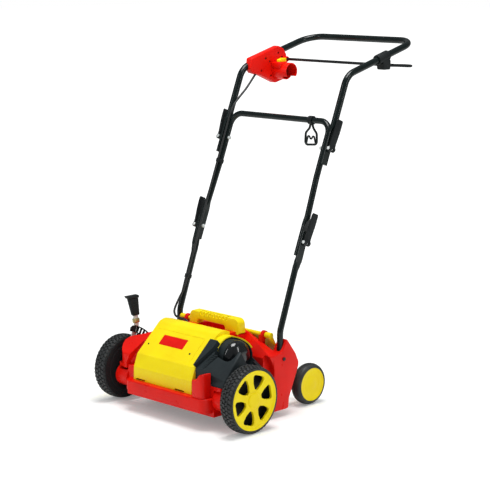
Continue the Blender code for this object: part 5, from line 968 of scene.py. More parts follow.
# %% Rear wheels
def rear_tyre(name, side):
    """A round tyre with three grooves."""
    x = side * 0.192
    shell = [(-0.0184, 0.0518), (-0.0184, 0.0535)]
    for k in range(13):
        a = radians(180 - 15 * k)
        shell.append((0.0183 * cos(a), 0.054 + 0.01 * sin(a)))
    shell += [(0.0184, 0.0535), (0.0184, 0.0518)]
    groove = ((-0.0009, 0.0622), (0.0009, 0.0622), (0.0012, 0.07), (-0.0012, 0.07))
    cuts = [lathe("groove", [(x + shift + dx, r) for dx, r in groove], *REAR_HUB)
        for shift in (-0.008, 0.0, 0.008)]
    return carve(lathe(name, [(x + dx, r) for dx, r in shell], *REAR_HUB), *cuts)


REAR_DISC = [(0.173, 0.011), (0.205, 0.011), (0.205, 0.0475), (0.173, 0.0495), (0.173, 0.0515),
    (0.2092, 0.0515), (0.2099, 0.0508), (0.21, 0.0498), (0.2096, 0.048), (0.2084, 0.0462), (0.2078, 0.044),
    (0.2079, 0.03), (0.2073, 0.0296), (0.2073, 0.0284), (0.2079, 0.028), (0.208, 0.015), (0.2086, 0.0135),
    (0.209, 0.011), (0.2092, 0.0), (0.173, 0.0)]
for word, side in SIDES:
    fit(rear_tyre("rear_tyre_ribbed_" + word, side), "rear_wheel_" + word, tyre_rubber, "rear_tyre_" + word,
        angle=30)
    fit(turned("rear_disc_faced_" + word, side, REAR_DISC, REAR_HUB), "rear_wheel_" + word, yellow,
        "rear_disc_" + word, angle=30)

# %% [markdown]
# ## The tube handle
# The handle folds at two pairs of joints, where the tubes are pressed flat so that they lie against each
# other. A tube starts as a curve with a round section, turned into a mesh. Near each joint its points are
# then pressed as a real press does it: thinner across the machine, wider along its face, with a smooth run
# between. The middle and upper tubes are bows, so their left half is their right half turned over.

# %% Handle lines
LOWER_JOINT, UPPER_JOINT = Vector((0.284, 0.516)), Vector((0.3915, 0.788))
LEG_TOP, TOP_BAR, CROSSBAR = Vector((0.4773, 1.0036)), Vector((0.8015, 1.0938)), Vector((0.4223, 0.8651))
LOWER_WAY = (LOWER_JOINT - Vector((FOOT_Y, 0.2585))).normalized()
MIDDLE_WAY = (UPPER_JOINT - LOWER_JOINT).normalized()
UPPER_WAY = (LEG_TOP - UPPER_JOINT).normalized()
MIDDLE_X, UPPER_X, OUTER_FLAT_X, INNER_FLAT_X = 0.2083, 0.2222, 0.2222, 0.2139
TUBE_R, BOW_R = 0.0095, 0.0105  # lower and middle tubes, upper bow
FLAT_HALF_THICK, FLAT_HALF_WIDE = 0.004, 0.013


def denser(path, step=0.006):
    """The path with points at least every step."""
    dense = [path[0]]
    for a, b in zip(path, path[1:]):
        count = max(1, ceil((b - a).length / step))
        dense += [a.lerp(b, k / count) for k in range(1, count + 1)]
    return dense


def press_flat(piece, joint, way, middle_line, radius, start, full):
    """Presses the tube flat near a joint; start and full are where the press begins and is complete."""
    across = Vector((way.y, -way.x))
    for vert in piece.data.vertices:
        place = Vector((vert.co.y, vert.co.z)) - joint
        s = place.dot(way)
        share = (s - start) / (full - start)
        if share <= 0 or abs(place.dot(across)) > 0.03 or abs(vert.co.x) < 0.19:
            continue
        share = min(share, 1.0)
        share = share * share * (3 - 2 * share)
        side = copysign(1, vert.co.x)
        for (s0, x0), (s1, x1) in zip(middle_line, middle_line[1:]):
            if s0 - 1e-6 <= s <= s1 + 1e-6:
                middle = x0 + (x1 - x0) * (s - s0) / (s1 - s0)
        off = abs(vert.co.x) - middle
        limit = radius + (FLAT_HALF_THICK - radius) * share
        off = max(-limit, min(limit, off * (1 + 0.55 * share)))
        stretch = place.dot(across) * (FLAT_HALF_WIDE / radius - 1) * share
        vert.co.x = side * (middle + off)
        vert.co.y += across.x * stretch
        vert.co.z += across.y * stretch
    return piece


def leg(x, point):
    """A point of the handle's side view, at a distance across."""
    return Vector((x, point.x, point.y))


def bow(name, foot, corners, radii, steps, radius):
    """A bow: the right foot's straight points, a filleted run over the top, and the foot turned over."""
    flipped = [Vector((-v.x, v.y, v.z)) for v in reversed(foot)]
    corners = corners + [Vector((-v.x, v.y, v.z)) for v in reversed(corners)]
    run = filleted([foot[-1], *corners, flipped[0]], radii, steps)
    return bent_tube(name, denser(foot[:-1] + run + flipped[1:]), radius), run


# %% Lower tubes
for word, side in SIDES:
    line = filleted([(side * FOOT_X, FOOT_Y, 0.115), (side * FOOT_X, FOOT_Y, 0.2585),
        leg(side * FOOT_X, LOWER_JOINT - LOWER_WAY * 0.085)], [0.06], 14)
    line += [leg(side * OUTER_FLAT_X, LOWER_JOINT + LOWER_WAY * reach) for reach in (-0.048, 0.034)]
    lower = bent_tube("lower_leg_" + word, denser(line), TUBE_R)
    middle_line = [(-0.6, FOOT_X), (-0.085, FOOT_X), (-0.048, OUTER_FLAT_X), (0.2, OUTER_FLAT_X)]
    press_flat(lower, LOWER_JOINT, LOWER_WAY, middle_line, TUBE_R, -0.09, -0.046)
    fit(lower, "deck", tube_coat, "lower_tube_" + word, angle=40)

# %% Middle handle
foot = [leg(INNER_FLAT_X, LOWER_JOINT + MIDDLE_WAY * reach) for reach in (-0.043, 0.048, 0.078)]
corners = [leg(MIDDLE_X, LOWER_JOINT + MIDDLE_WAY * 0.2), leg(MIDDLE_X, CROSSBAR)]
middle, _ = bow("middle_frame_tube", foot, corners, [0.3, 0.04, 0.04, 0.3], 14, TUBE_R)
middle_line = [(-0.3, MIDDLE_X), (-0.2, MIDDLE_X), (-0.078, INNER_FLAT_X), (0.2, INNER_FLAT_X)]
press_flat(middle, LOWER_JOINT, -MIDDLE_WAY, middle_line, TUBE_R, -0.08, -0.046)
fit(middle, "middle_handle", tube_coat, "middle_handle", angle=40)

# %% Upper handle
foot = [leg(OUTER_FLAT_X, UPPER_JOINT + UPPER_WAY * reach) for reach in (-0.05, 0.048, 0.075)]
corners = [leg(UPPER_X, LEG_TOP), leg(UPPER_X, TOP_BAR)]
upper, top_line = bow("upper_bow_tube", foot, corners, [0.06] * 4, 16, BOW_R)
press_flat(upper, UPPER_JOINT, -UPPER_WAY, [(-0.4, UPPER_X), (0.2, UPPER_X)], BOW_R, -0.078, -0.046)
fit(upper, "upper_handle", tube_coat, "upper_handle", angle=40)

# %% [markdown]
# ## Clamp levers
# Each joint is closed by a cam lever on a bolt: a paddle with two round cheeks on a cross pin. The paddle's
# side view is the outline here; pushed to its width, waisted and widened again by moving its points, and
# softened. The bright ends of the pin are pieces of their own, because they have another finish.

# %% Clamp levers
CAM_X = 0.23532
LEVER_WAY = Vector((0, 0.37, 0.93)).normalized()
LEVER_SIDEWAYS = Vector((0, LEVER_WAY.z, -LEVER_WAY.y))
PADDLE_SIDE = [(0.0, 0.0012), (0.014, 0.0004), (0.03, 0.0006), (0.048, 0.0012), (0.066, 0.0022),
    (0.08, 0.0034), (0.088, 0.0044), (0.0915, 0.0056), (0.092, 0.007), (0.091, 0.0082), (0.088, 0.0089),
    (0.08, 0.0089), (0.066, 0.0087), (0.048, 0.0083), (0.03, 0.008), (0.014, 0.0078), (0.0, 0.0074)]
PADDLE_WIDTH = [(-0.001, 1.0), (0.014, 0.92), (0.03, 0.86), (0.048, 1.22), (0.066, 1.27), (0.088, 1.25),
    (0.0921, 1.05)]
PADDLE_HALF = 0.0097


def clamp_lever(name, side, joint):
    """A paddle that lies nearly along the tube, from its pin."""
    out = Vector((side, 0, 0))
    centre = Vector((side * CAM_X, *joint))
    edge = [centre + LEVER_WAY * r + out * h - LEVER_SIDEWAYS * PADDLE_HALF for r, h in PADDLE_SIDE]
    paddle = slab(name, edge, LEVER_SIDEWAYS * (2 * PADDLE_HALF))
    for vert in paddle.data.vertices:
        place = vert.co - centre
        reach = place.dot(LEVER_WAY)
        for (r0, w0), (r1, w1) in zip(PADDLE_WIDTH, PADDLE_WIDTH[1:]):
            if r0 - 1e-6 <= reach <= r1 + 1e-6:
                width = w0 + (w1 - w0) * (reach - r0) / (r1 - r0)
        vert.co += LEVER_SIDEWAYS * (place.dot(LEVER_SIDEWAYS) * (width - 1))
    cheeks = on_pin("cheek", side, joint, 0.0034, 0.0122, 0.0086, 40)
    return unite(soften(paddle, 0.0014, 3, 40), *[soften(cheek, 0.0008, 2) for cheek in cheeks])


def on_pin(name, side, joint, near, far, radius, sides):
    """Two short round bars on the lever's cross pin, one at each end."""
    centre = Vector((side * CAM_X, *joint))
    return [bar(name, centre + LEVER_SIDEWAYS * s * near, centre + LEVER_SIDEWAYS * s * far, radius, sides)
        for s in (1, -1)]


def pin_caps(name, side, joint):
    """The bright rounded ends of the cross pin."""
    return gather(*[soften(cap, 0.0016, 4) for cap in on_pin(name, side, joint, 0.0118, 0.0148, 0.0052, 32)])


for level, joint in (("lower", LOWER_JOINT), ("upper", UPPER_JOINT)):
    for word, side in SIDES:
        fit(pin_caps(f"{level}_pin_caps_{word}", side, joint), f"{level}_clamp_{word}", zinc)
        fit(clamp_lever(f"{level}_cam_paddle_{word}", side, joint), f"{level}_clamp_{word}", black,
            f"{level}_clamp_lever_{word}")

# %% [markdown]
# ## Switch box and plug socket
# The red box is two halves clamped round the left arm. Its side view is rounded at every corner, and only
# the outer rims are softened, so the parting line between the halves stays tight. The outer half tapers to a
# smaller outline. The round shroud for the extension lead grows out of the inner half, with a ramp for the
# lock button on its top.

# %% Switch box halves
BAIL_AXIS, INLET = (0.65, 1.026), (0.618, 0.99)
OUTER_X, INNER_X = -0.2385, -0.2


def arm_height(y):
    """The height of the arm's middle line."""
    return LEG_TOP.y + (y - LEG_TOP.x) * (TOP_BAR.y - LEG_TOP.y) / (TOP_BAR.x - LEG_TOP.x)


box_side = rounded([(0.496, 1.034), (0.624, 1.07), (0.647, 1.06), (0.662, 1.04), (0.662, 1.012),
    (0.658, 0.962), (0.61, 0.95), (0.545, 0.976), (0.503, 0.987), (0.492, 1.0)],
    [0.006, 0.01, 0.01, 0.01, 0.02, 0.01, 0.018, 0.02, 0.008, 0.008], 6)
arm_space = [Vector((-UPPER_X, v.y, v.z)) for v in top_line if v.x < -0.22 and v.y > 0.44 and v.y < 0.7]
arm_space = denser(sorted(arm_space, key=lambda v: v.y) + [Vector((-UPPER_X, 0.72, arm_height(0.72)))])
ARM_SPACE_R = 0.01145
box_outer_side = rounded([(0.53, 1.0345), (0.622, 1.0605), (0.64, 1.052), (0.652, 1.036), (0.652, 1.014),
    (0.648, 0.972), (0.61, 0.961), (0.56, 0.982), (0.532, 0.992), (0.524, 1.004)],
    [0.006, 0.01, 0.008, 0.008, 0.015, 0.008, 0.014, 0.015, 0.005, 0.005], 6)


def box_half(name, split, rim, radius, steps, far=None):
    """One half of the box, from the parting plane to its softened rim."""
    half = slab_x(name, box_side, split, rim, far)
    return round_edges(half, lambda a, b: max(abs(a.x - rim), abs(b.x - rim)) < SAME, radius, steps)


outer_half = box_half("switch_box_outer_shell", -0.22165, OUTER_X, 0.0025, 4, box_outer_side)
carve(outer_half, bent_tube("arm space", arm_space, ARM_SPACE_R))
print("outer half of the box:", len(outer_half.data.polygons), "faces")
fit(outer_half, "upper_handle", red, "switch_box_outer", angle=32)

inner_half = box_half("switch_box_inner_shell", -0.22135, INNER_X, 0.004, 5)
shroud = lathe("shroud", [(-0.203, 0.02), (-0.203, 0.0275), (-0.139, 0.0275), (-0.1374, 0.0268),
    (-0.137, 0.0256), (-0.1378, 0.0247), (-0.2, 0.0247), (-0.2, 0.02)], *INLET)
ramp = soften(block("ramp", (-0.2005, 0.5875, 1.0), (-0.16, 0.6265, 1.0205)), 0.006, 5, 30)
carve(ramp, bar_x("socket space", -0.1999, -0.1, *INLET, 0.025, 64))
boss = soften(bar_x("bail boss", -0.203, -0.186, *BAIL_AXIS, 0.009), 0.001, 2)
unite(inner_half, shroud, ramp, boss)
carve(inner_half, bent_tube("arm space", arm_space, ARM_SPACE_R),
    bar("cable mouth", (-0.2059, 0.541, 1.003), (-0.2059, 0.5, 0.962), 0.004, 24),
    bar_x("bail hole", -0.206, -0.17, *BAIL_AXIS, 0.0052, 32),
    block("button slot", (-0.1795, 0.5915, 1.0157), (-0.1645, 0.6225, 1.04)),
    slab_x("shroud notch", rounded(rectangle(0.57, 0.94, 0.66, 0.9735), 0.001, 2), -0.16, -0.13))
BOX_SCREWS = ((0.6213, 1.0469), (0.5629, 1.0308), (0.5822, 1.0206), (0.6385, 1.0325), (0.5433, 0.9925),
    (0.588, 0.975))
carve(inner_half, *[bar_x("screw well", -0.2034, -0.19, y, z, 0.004, 24) for y, z in BOX_SCREWS])
fit(inner_half, "upper_handle", red, "switch_box_inner", angle=32)

# %% Screws, modelled once
def screw(name, head_r, height):
    """A pan head with a cross recess, on the X axis at the origin."""
    head = lathe(name, [(-0.001, 0.0), (-0.001, head_r), (height * 0.4, head_r), (height * 0.8, head_r * 0.8),
        (height, head_r * 0.35), (height, 0.0)], 0, 0, 32)
    arm_half = head_r * 0.6
    cross = head_r * 0.13
    return carve(head, block("cross", (height * 0.35, -arm_half, -cross), (height * 2, arm_half, cross)),
        block("cross", (height * 0.35, -cross, -arm_half), (height * 2, cross, arm_half)))


def set_screw(model, name, place, direction, body):
    """A copy of a screw turned towards a direction and fitted."""
    copy = model.copy()
    copy.data = model.data.copy()
    copy.name = name
    to_scene(copy)
    turn = Vector((1, 0, 0)).rotation_difference(Vector(direction)).to_matrix().to_4x4()
    copy.data.transform(Matrix.Translation(Vector(place)) @ turn)
    return fit(copy, body, dark_steel, angle=40)


small_screw = screw("small screw", 0.0029, 0.0016)
for k, (y, z) in enumerate(BOX_SCREWS):
    set_screw(small_screw, f"box_screw_{k + 1}", (-0.203, y, z), (1, 0, 0), "upper_handle")
for k, x in enumerate(HOOD_SCREWS):
    set_screw(small_screw, f"hood_screw_{k + 1}", on_slope(x, 0.04, -0.0014), SLOPE_OUT, "deck")
bpy.data.objects.remove(small_screw, do_unlink=True)

# %% Plug inlet and its pins
inlet = soften(bar_x("plug_inlet_body", -0.1995, -0.194, *INLET, 0.0243, 64), 0.0006, 2)
core = slab_x("core", rounded(rectangle(0.6035, 0.981, 0.6325, 0.999), 0.006), -0.196, -0.17)
well = slab_x("well", rounded(rectangle(0.606, 0.9835, 0.63, 0.9965), 0.0045), -0.188, -0.16)
unite(inlet, carve(soften(core, 0.0012), well))
fit(inlet, "upper_handle", black, "power_inlet")
pins = [soften(bar_x("plug_inlet_pins", -0.19, -0.1732, INLET[0] + dy, INLET[1], 0.0021, 24), 0.0007)
    for dy in (-0.0055, 0.0055)]
fit(gather(*pins), "upper_handle", zinc, "power_inlet")

# %% Lock button
button = slab_x("lock_button_wedge", rounded([(0.592, 1.0201), (0.622, 1.0201), (0.622, 1.0318),
    (0.607, 1.0318), (0.592, 1.0274)], [0, 0, 0.002, 0.004, 0.002], 4), -0.179, -0.165)
soften(button, 0.0009, 3, 40)
for k in range(6):
    y = 0.5945 + 0.0042 * k
    line = block("grip line", (-0.19, y, 1.03), (-0.15, y + 0.0012, 1.04))
    if k < 3:
        line.data.transform(Matrix.Translation((0, 0, -0.003 + 0.0011 * k)))
    carve(button, line)
fit(button, "lock_button", yellow, "lock_button")

# %% [markdown]
# ## The bail and its bracket
# A thin rod crosses the handle from the switch box to a bracket under the right arm, where it ends in a
# finger lever. The bracket is a clamp: a ring round the tube with a knuckle below it, so it is a turned
# sleeve melted with a softened block and bored for the tube and the rod.

# %% Bail
DROP = radians(4.0)
bail_along = Vector((0, cos(DROP), -sin(DROP)))
bail_across = Vector((0, sin(DROP), cos(DROP)))
LEVER_HALF = 0.0063
finger = [(0.0, 0.0075), (0.012, 0.0066), (0.024, 0.005), (0.06, 0.0046), (0.11, 0.005), (0.126, 0.0046),
    (0.1325, 0.003), (0.134, 0.0)]
finger_line = finger + [(r, -h) for r, h in reversed(finger[:-1])]
start = Vector((UPPER_X - LEVER_HALF, *BAIL_AXIS))
bail = slab("bail_rod_and_lever", [start + bail_along * r + bail_across * h for r, h in finger_line],
    (2 * LEVER_HALF, 0, 0))
unite(soften(bail, 0.0022, 4, 45),
    soften(bar_x("knuckle", UPPER_X - 0.0064, UPPER_X + 0.0064, *BAIL_AXIS, 0.0078, 40), 0.001, 2),
    soften(bar_x("rod", -0.205, 0.2345, *BAIL_AXIS, 0.0045, 32), 0.0008, 2))
fit(bail, "bail", black, "bail_lever", slot="black_tube")

# %% Bail bracket
arm_way = Vector((0, TOP_BAR.x - LEG_TOP.x, TOP_BAR.y - LEG_TOP.y)).normalized()
ring_middle = Vector((UPPER_X, 0.64, arm_height(0.64)))


def along_arm(name, half, radius):
    """A round bar along the right arm, half as long to each side of the bracket's middle."""
    return bar(name, ring_middle - arm_way * half, ring_middle + arm_way * half, radius, 64)


bracket = soften(along_arm("bail_bracket_clamp", 0.0255, 0.016), 0.0015)
knuckle = slab_x("knuckle", [(0.633, 1.012), (0.627, 1.045), (0.66, 1.053), (0.6655, 1.038), (0.664, 1.012)],
    0.207, 0.2375)
unite(bracket, soften(knuckle, 0.0035, 4, 30))
SLIT_HALF = 0.0072
carve(bracket, along_arm("tube space", 0.05, 0.0113), bar_x("rod space", 0.19, 0.2352, *BAIL_AXIS, 0.005, 32),
    bar_x("lever space", UPPER_X - SLIT_HALF, UPPER_X + SLIT_HALF, *BAIL_AXIS, 0.009, 40),
    block("lever way", (UPPER_X - SLIT_HALF, BAIL_AXIS[0], 1.0135), (UPPER_X + SLIT_HALF, 0.7, 1.0388)))
fit(bracket, "upper_handle", black, "bail_bracket")

# %% [markdown]
# ## Bolts, clips and the cable hook
# The joint bolts, the pins and the axles are right as the CAD has them, so they keep their solids and only
# get a plated finish. The two cable clips and the hook are small but close to the eye, so they are made
# round: two sleeves with a web between them, and a ring with a closed loop of wire that has a bent wire
# across its inside.

# %% Cable clips
CABLE_X, CABLE_AHEAD = -0.2059, 0.0145


def ahead(point, way):
    """The cable's place in front of a tube's middle line."""
    return point - Vector((way.y, -way.x)) * CABLE_AHEAD


def cable_clip(name, centre, way, tube_x):
    """A sleeve round the tube and a smaller one round the cable."""
    along = Vector((0, *way)) * 0.006
    tube, wire = Vector((tube_x, *centre)), Vector((CABLE_X, *ahead(centre, way)))
    side = along.cross(wire - tube).normalized() * 0.0016
    short = along * 0.8
    clip = soften(bar(name, tube - along, tube + along, 0.0114, 48), 0.0006, 2)
    web = slab("web", [tube - short - side, tube - short + side, wire - short + side, wire - short - side],
        short * 2)
    unite(clip, web, soften(bar("sleeve", wire - along, wire + along, 0.0054, 32), 0.0005, 2))
    carve(clip, bar("tube space", tube - along * 3, tube + along * 3, 0.0098, 48),
        bar("cable space", wire - along * 3, wire + along * 3, 0.0038, 32))
    return clip


fit(cable_clip("cable_clip_upper_sleeve", UPPER_JOINT - MIDDLE_WAY * 0.0785, MIDDLE_WAY, -MIDDLE_X),
    "middle_handle", black, "cable_clip_upper")
fit(cable_clip("cable_clip_lower_sleeve", LOWER_JOINT - LOWER_WAY * 0.1655, LOWER_WAY, -FOOT_X), "deck",
    black, "cable_clip_lower")

# %% Cable hook
HOOK_X = 0.12
y, z = CROSSBAR
ring = [(0.0, 0.01), (0.0, 0.0128), (0.0008, 0.0135), (0.0162, 0.0135), (0.017, 0.0128), (0.017, 0.01)]
fit(lathe("cable_hook_ring", [(HOOK_X + dx, r) for dx, r in ring], y, z, 64), "cable_hook", black,
    "cable_hook")
top, x = z - 0.0125, HOOK_X + 0.0085
loop = [(0.0035, 0, 0.002), (0.008, 0, -0.012), (0.0225, -0.001, -0.027), (0.024, -0.002, -0.06),
    (-0.024, -0.002, -0.064), (-0.0225, -0.001, -0.027), (-0.008, 0, -0.012), (-0.0035, 0, 0.002)]
hook_line = filleted([(x + dx, y + dy, top + dz) for dx, dy, dz in loop],
    [0.008, 0.012, 0.01, 0.01, 0.012, 0.008], 8)
zigzag = [(-0.019, -0.0605), (-0.011, -0.03), (0.0, -0.048), (0.011, -0.03), (0.019, -0.059)]
inner_line = filleted([(x + dx, y - 0.002, top + dz) for dx, dz in zigzag], [0.004] * 3, 8)
wire = gather(bent_tube("cable_hook_wire", hook_line, 0.0036, 5),
    bent_tube("inner wire", inner_line, 0.0028, 5))
fit(wire, "cable_hook", tube_coat, "cable_hook", angle=40)

# %% [markdown]
# ## The depth lever
# The lever is a flat zinc bar that leans outwards, with a brass coloured collar and a moulded grip, beside a
# notched quadrant. The leaning pieces are blocks whose top and bottom follow the bar's leaning line, so each
# starts as a slab between two slanted outlines and is then rounded.

# %% Depth lever
PIVOT = Vector((-0.03, 0.088))
LEVER_ALONG = Vector((sin(radians(22)), cos(radians(22))))
LEVER_ACROSS = Vector((LEVER_ALONG.y, -LEVER_ALONG.x))
BEND = PIVOT + LEVER_ALONG * 0.155
NEAR_X = -0.2427


def leaning(height):
    """The middle of the leaning bar at a height."""
    share = (height - BEND.y) / (0.322 - BEND.y)
    return Vector((NEAR_X + 0.0019 - 0.018 * share, BEND.x + 0.0048 * share, height))


def leaning_block(name, low, high, shift=0.0):
    """A block along the leaning line; each end is (height, half depth, half thickness)."""
    corners = ((-1, -1), (1, -1), (1, 1), (-1, 1))
    rings = [[leaning(height) + Vector((sx * thick, sy * deep - forwards, 0)) for sx, sy in corners]
        for height, deep, thick, forwards in ((*low, 0.0), (*high, shift))]
    return slab(name, rings[0], (0, 0, high[0] - low[0]), rings[1])


def plate_corner(reach, across):
    """A place on the lever's flat plate, from its pivot."""
    return tuple(PIVOT + LEVER_ALONG * reach + LEVER_ACROSS * across)


shank = slab_x("depth_lever_plate", [plate_corner(0, -0.0108), plate_corner(0, 0.0108),
    plate_corner(0.1565, 0.009), plate_corner(0.1565, -0.009)], NEAR_X, NEAR_X + 0.0038)
soften(shank, 0.0006, 2)
unite(shank, soften(bar_x("eye", NEAR_X, NEAR_X + 0.0038, *PIVOT, 0.0125, 48), 0.0006, 2),
    soften(leaning_block("upper bar", (BEND.y - 0.001, 0.009, 0.0019), (0.316, 0.009, 0.0019)), 0.0006, 2))
carve(shank, bar_x("pivot space", -0.26, -0.2, *PIVOT, 0.0073, 40))
fit(shank, "front_axle", zinc, "depth_lever")

collar = leaning_block("depth_lever_sleeve", (0.2375, 0.012, 0.0048), (0.2515, 0.012, 0.0048))
soften(collar, 0.0022, 4, 35)
carve(collar, leaning_block("bar space", (0.22, 0.0094, 0.0022), (0.29, 0.0094, 0.0022)))
fit(collar, "front_axle", brass, "depth_lever_collar")

lever_grip = leaning_block("depth_lever_handgrip", (0.26, 0.0135, 0.0065), (0.3145, 0.019, 0.008), 0.005)
soften(lever_grip, 0.004, 5, 35)
lip = leaning_block("lip", (0.313, 0.0215, 0.0095), (0.322, 0.024, 0.0095), 0.0035)
lip.data.transform(Matrix.Translation((0, -0.005, 0)))
soften(lip, 0.003, 4, 35)
unite(lever_grip, lip)
for k in range(5):
    height = 0.27 + 0.0085 * k
    band = leaning_block("band", (height, 0.03, 0.03), (height + 0.0016, 0.03, 0.03))
    halves = (0.0136 + 0.0008 * k, 0.0062 + 0.0002 * k)
    core = leaning_block("core", (height - 0.002, *halves), (height + 0.0036, *halves))
    core.data.transform(Matrix.Translation((0, -0.001 - 0.0008 * k, 0)))
    carve(lever_grip, carve(band, core))
carve(lever_grip, leaning_block("bar space", (0.24, 0.0093, 0.0022), (0.3163, 0.0093, 0.0022)))
fit(lever_grip, "front_axle", black, "depth_lever_grip")

# %% Quadrant
def round_pivot(radius, turn):
    """A place in side view round the lever's pivot; a turn in degrees from the rear."""
    return PIVOT.x + radius * cos(radians(turn)), PIVOT.y + radius * sin(radians(turn))


def sector(inner, outer, start, end, steps):
    """Corners of a ring sector about the pivot."""
    return [round_pivot(radius, first + (last - first) * k / steps) for radius, first,
        last in ((outer, start, end), (inner, end, start)) for k in range(steps + 1)]


def through(name, outline):
    """A slab through the whole quadrant, to cut with."""
    return slab_x(name, outline, -0.3, -0.2)


quadrant = slab_x("depth_quadrant_plate", sector(0.094, 0.152, 38, 78, 24), -0.2382, -0.2338)
shoulder = ((0.153, 70.0), (0.149, 75.5), (0.14, 79.0), (0.17, 80.0), (0.17, 70.0))
carve(quadrant, through("open corner", sector(0.06, 0.131, 64, 95, 12)),
    through("shoulder", [round_pivot(*place) for place in shoulder]))
soften(quadrant, 0.0008, 2)
for k in range(5):
    turn = 68 - 5.5 * k
    carve(quadrant, through("notch", sector(0.1325, 0.1485, turn - 1.7, turn + 1.7, 4)))
fit(quadrant, "deck", black, "depth_quadrant")

# %% [markdown]
# ## The cable
# One cable runs from the switch box down the left side of the handle into the deck. It is cut at the two
# folding joints into three lengths; only the lower length rides on the deck, and the upper and middle
# lengths are left fixed where they are drawn. Its route is a smooth curve through the clip and the points
# where it touches the tube.

# %% Cable
def smooth_line(route, step=0.004):
    """Points at an even step along a smooth curve through the route."""
    points = [Vector(point) for point in route]
    ends = [points[0] * 2 - points[1]] + points + [points[-1] * 2 - points[-2]]
    fine = []
    for i in range(1, len(ends) - 2):
        p0, p1, p2, p3 = ends[i - 1:i + 3]
        for k in range(20):
            t = k / 20
            fine.append(0.5 * ((2 * p1) + (p2 - p0) * t + (2 * p0 - 5 * p1 + 4 * p2 - p3) * t ** 2
                + (3 * p1 - p0 - 3 * p2 + p3) * t ** 3))
    fine.append(points[-1])
    length = sum((b - a).length for a, b in zip(fine, fine[1:]))
    count = max(1, round(length / step))
    spaced, travelled = [fine[0]], 0.0
    for a, b in zip(fine, fine[1:]):
        piece = (b - a).length
        while len(spaced) < count and travelled + piece >= len(spaced) * length / count:
            spaced.append(a.lerp(b, (len(spaced) * length / count - travelled) / piece))
        travelled += piece
    spaced.append(fine[-1])
    return spaced


upper_split, lower_split = ahead(UPPER_JOINT, MIDDLE_WAY), ahead(LOWER_JOINT, MIDDLE_WAY)
GAP = MIDDLE_WAY * 0.00015  # half the slit between two lengths
upper_route = [(0.538, 1.0), (0.518, 0.98), (0.48, 0.941), (0.444, 0.911), (0.424, 0.893), (0.409, 0.87),
    (0.3975, 0.843), upper_split + MIDDLE_WAY * 0.02, upper_split + GAP]
middle_route = [upper_split - GAP, lower_split + GAP]
lower_route = [lower_split - GAP, lower_split - MIDDLE_WAY * 0.02]
lower_route += [ahead(LOWER_JOINT - LOWER_WAY * down, LOWER_WAY) for down in (0.06, 0.12, 0.1655)]
into_deck = [(-0.2085, 0.2, 0.325), (-0.213, 0.18, 0.29), (-0.2125, 0.163, 0.262), (-0.203, 0.158, 0.2465),
    (-0.185, 0.158, 0.2415), (-0.165, 0.1575, 0.2405), (-0.152, 0.1555, 0.24), (-0.144, 0.1535, 0.2345),
    (-0.1415, 0.1528, 0.226), (-0.141, 0.1525, 0.216)]
CABLE_R, BEND_POINTS = 0.0035, 14
for word, route, end in (("upper", upper_route, []), ("middle", middle_route, []),
        ("lower", lower_route, into_deck)):
    path = smooth_line([(CABLE_X, *point) for point in route] + end)
    sheath = bent_tube(f"cable_{word}_length", path, CABLE_R, 4)
    fit(sheath, "deck", cable_skin, "cable_" + word, angle=60, ride=word == "lower")
    path = [Vector(point) + Vector((0, AXLE_Y, 0)) for point in path]
    if word == "middle":
        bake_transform(sheath)
    if word == "upper":
        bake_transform(sheath)

# %% [markdown]
# ## Finishes for the solids that stay
# The working parts under the deck keep their CAD solids, because their flat blades and turned shafts are
# already right. Each still gets a real finish, so that nothing on the machine is one flat colour, even where
# only a view from below shows it.

# %% Solids that stay
kept = {cast_metal: ["motor_housing", "rotor_pulley"], blade_steel: ["tine_rotor"],
    belt_rubber: ["drive_belt"], bare_steel: ["tine_tunnel", "bearing_left", "bearing_right", "rotor_shaft",
    "motor_shaft"], zinc: ["front_axle", "rear_axle", "lower_joint_bolt_left", "lower_joint_bolt_right",
    "upper_joint_bolt_left", "upper_joint_bolt_right"], dark_steel: ["socket_bolt_left", "socket_bolt_right"]}
hidden = {"yellow plastic": yellow, "red plastic": red, "black plastic": black, "tyre rubber": tyre_rubber,
    "glossy black plastic": dome_black, "black coated tube": tube_coat, "zinc plated steel": zinc,
    "steel": bare_steel, "aluminium": cast_metal, "brass plating": brass, "cable sheath": cable_skin}
finish_of = {name: finish for finish, names in kept.items() for name in names}
for name, node in frame["nodes"].items():
    for holder in node.material_slots:
        plain = holder.material.name.split(".")[0] if holder.material else ""
        holder.material = finish_of.get(name) or hidden.get(plain, black)
print("solids with a finish:", len(frame["nodes"]))

# %% [markdown]
# ## Floor and light
# The photograph is a studio shot: white all round, a soft wide light from above, narrow strips of light
# along the tubes, and a faint shadow. The floor is a large plane. The white comes from the world's colour
# and from the far floor's glow, both for camera rays only, so the machine's own colours stay as written.
# Mirroring surfaces meet a dimmer sky, which keeps the paint deep.

# %% Floor
bpy.ops.object.select_all(action="DESELECT")
bpy.ops.mesh.primitive_plane_add(size=60, location=(0, 0, 0))
floor = named("studio_floor")


def brighter_for_camera(tree, plain, white):
    """White for what the camera sees, straight or through glass, and the plain shader for all else."""
    path = tree.nodes.new("ShaderNodeLightPath")
    seen = tree.nodes.new("ShaderNodeMath")
    seen.operation = "MAXIMUM"
    tree.links.new(path.outputs["Is Camera Ray"], seen.inputs[0])
    tree.links.new(path.outputs["Is Transmission Ray"], seen.inputs[1])
    mix = tree.nodes.new("ShaderNodeMixShader")
    tree.links.new(seen.outputs[0], mix.inputs[0])
    tree.links.new(plain, mix.inputs[1])
    tree.links.new(white, mix.inputs[2])
    return mix.outputs[0]


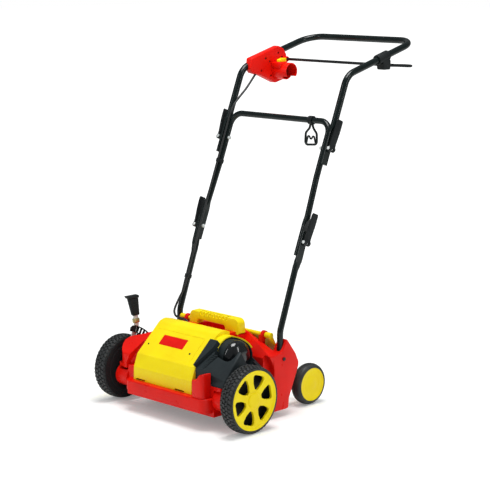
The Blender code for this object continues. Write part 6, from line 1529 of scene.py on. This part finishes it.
pale = bpy.data.materials.new("studio floor")
pale.use_nodes = True
tree = pale.node_tree
shader = tree.nodes["Principled BSDF"]
put(shader, Base_Color=(0.88, 0.9, 0.89, 1), Roughness=0.9, Specular_IOR_Level=0.1)
far_off = tree.nodes.new("ShaderNodeVectorMath")
far_off.operation = "LENGTH"
tree.links.new(tree.nodes.new("ShaderNodeTexCoord").outputs["Object"], far_off.inputs[0])
glow = tree.nodes.new("ShaderNodeEmission")
plug(tree, glow, Strength=spread(tree, far_off.outputs["Value"], 0.2, 0.75, 0.8, 4.0))
lit = tree.nodes.new("ShaderNodeAddShader")
tree.links.new(shader.outputs[0], lit.inputs[0])
tree.links.new(glow.outputs[0], lit.inputs[1])
plug(tree, tree.nodes["Material Output"], Surface=brighter_for_camera(tree, shader.outputs[0],
    lit.outputs[0]))
floor.data.materials.append(pale)

world = bpy.data.worlds.new("studio")
bpy.context.scene.world = world
world.use_nodes = True
tree = world.node_tree
background = put(tree.nodes["Background"], Color=(1, 1, 1, 1))
glossy_path = tree.nodes.new("ShaderNodeLightPath")
sky = spread(tree, glossy_path.outputs["Is Glossy Ray"], 0.55, 0.18, 0.0, 1.0)
plug(tree, background, Strength=sky)
white = put(tree.nodes.new("ShaderNodeBackground"), Color=(1, 1, 1, 1), Strength=1.0)
plug(tree, tree.nodes["World Output"], Surface=brighter_for_camera(tree, background.outputs[0],
    white.outputs[0]))

# %% Lamps
def lamp(name, place, target, size, power):
    """An area light that looks at a point; wide ones are soft, narrow ones draw lines on the tubes."""
    light = bpy.data.lights.new(name, "AREA")
    light.shape = "RECTANGLE"
    light.size, light.size_y = size
    light.energy = power
    holder = bpy.data.objects.new(name, light)
    to_scene(holder)
    holder.location = place
    holder.rotation_euler = (Vector(target) - Vector(place)).to_track_quat("-Z", "Y").to_euler()
    return holder


lamp("overhead softbox", (0.2, -0.2, 3.2), (0, 0, 0.3), (1.4, 1.4), 66)
lamp("front strip", (-1.2, -3.2, 2.2), (0, 0, 0.4), (0.22, 2.2), 15)
lamp("side strip", (3.2, 0.9, 2.0), (0, 0, 0.4), (0.22, 2.2), 18)
bpy.context.scene.view_settings.view_transform = "Standard"
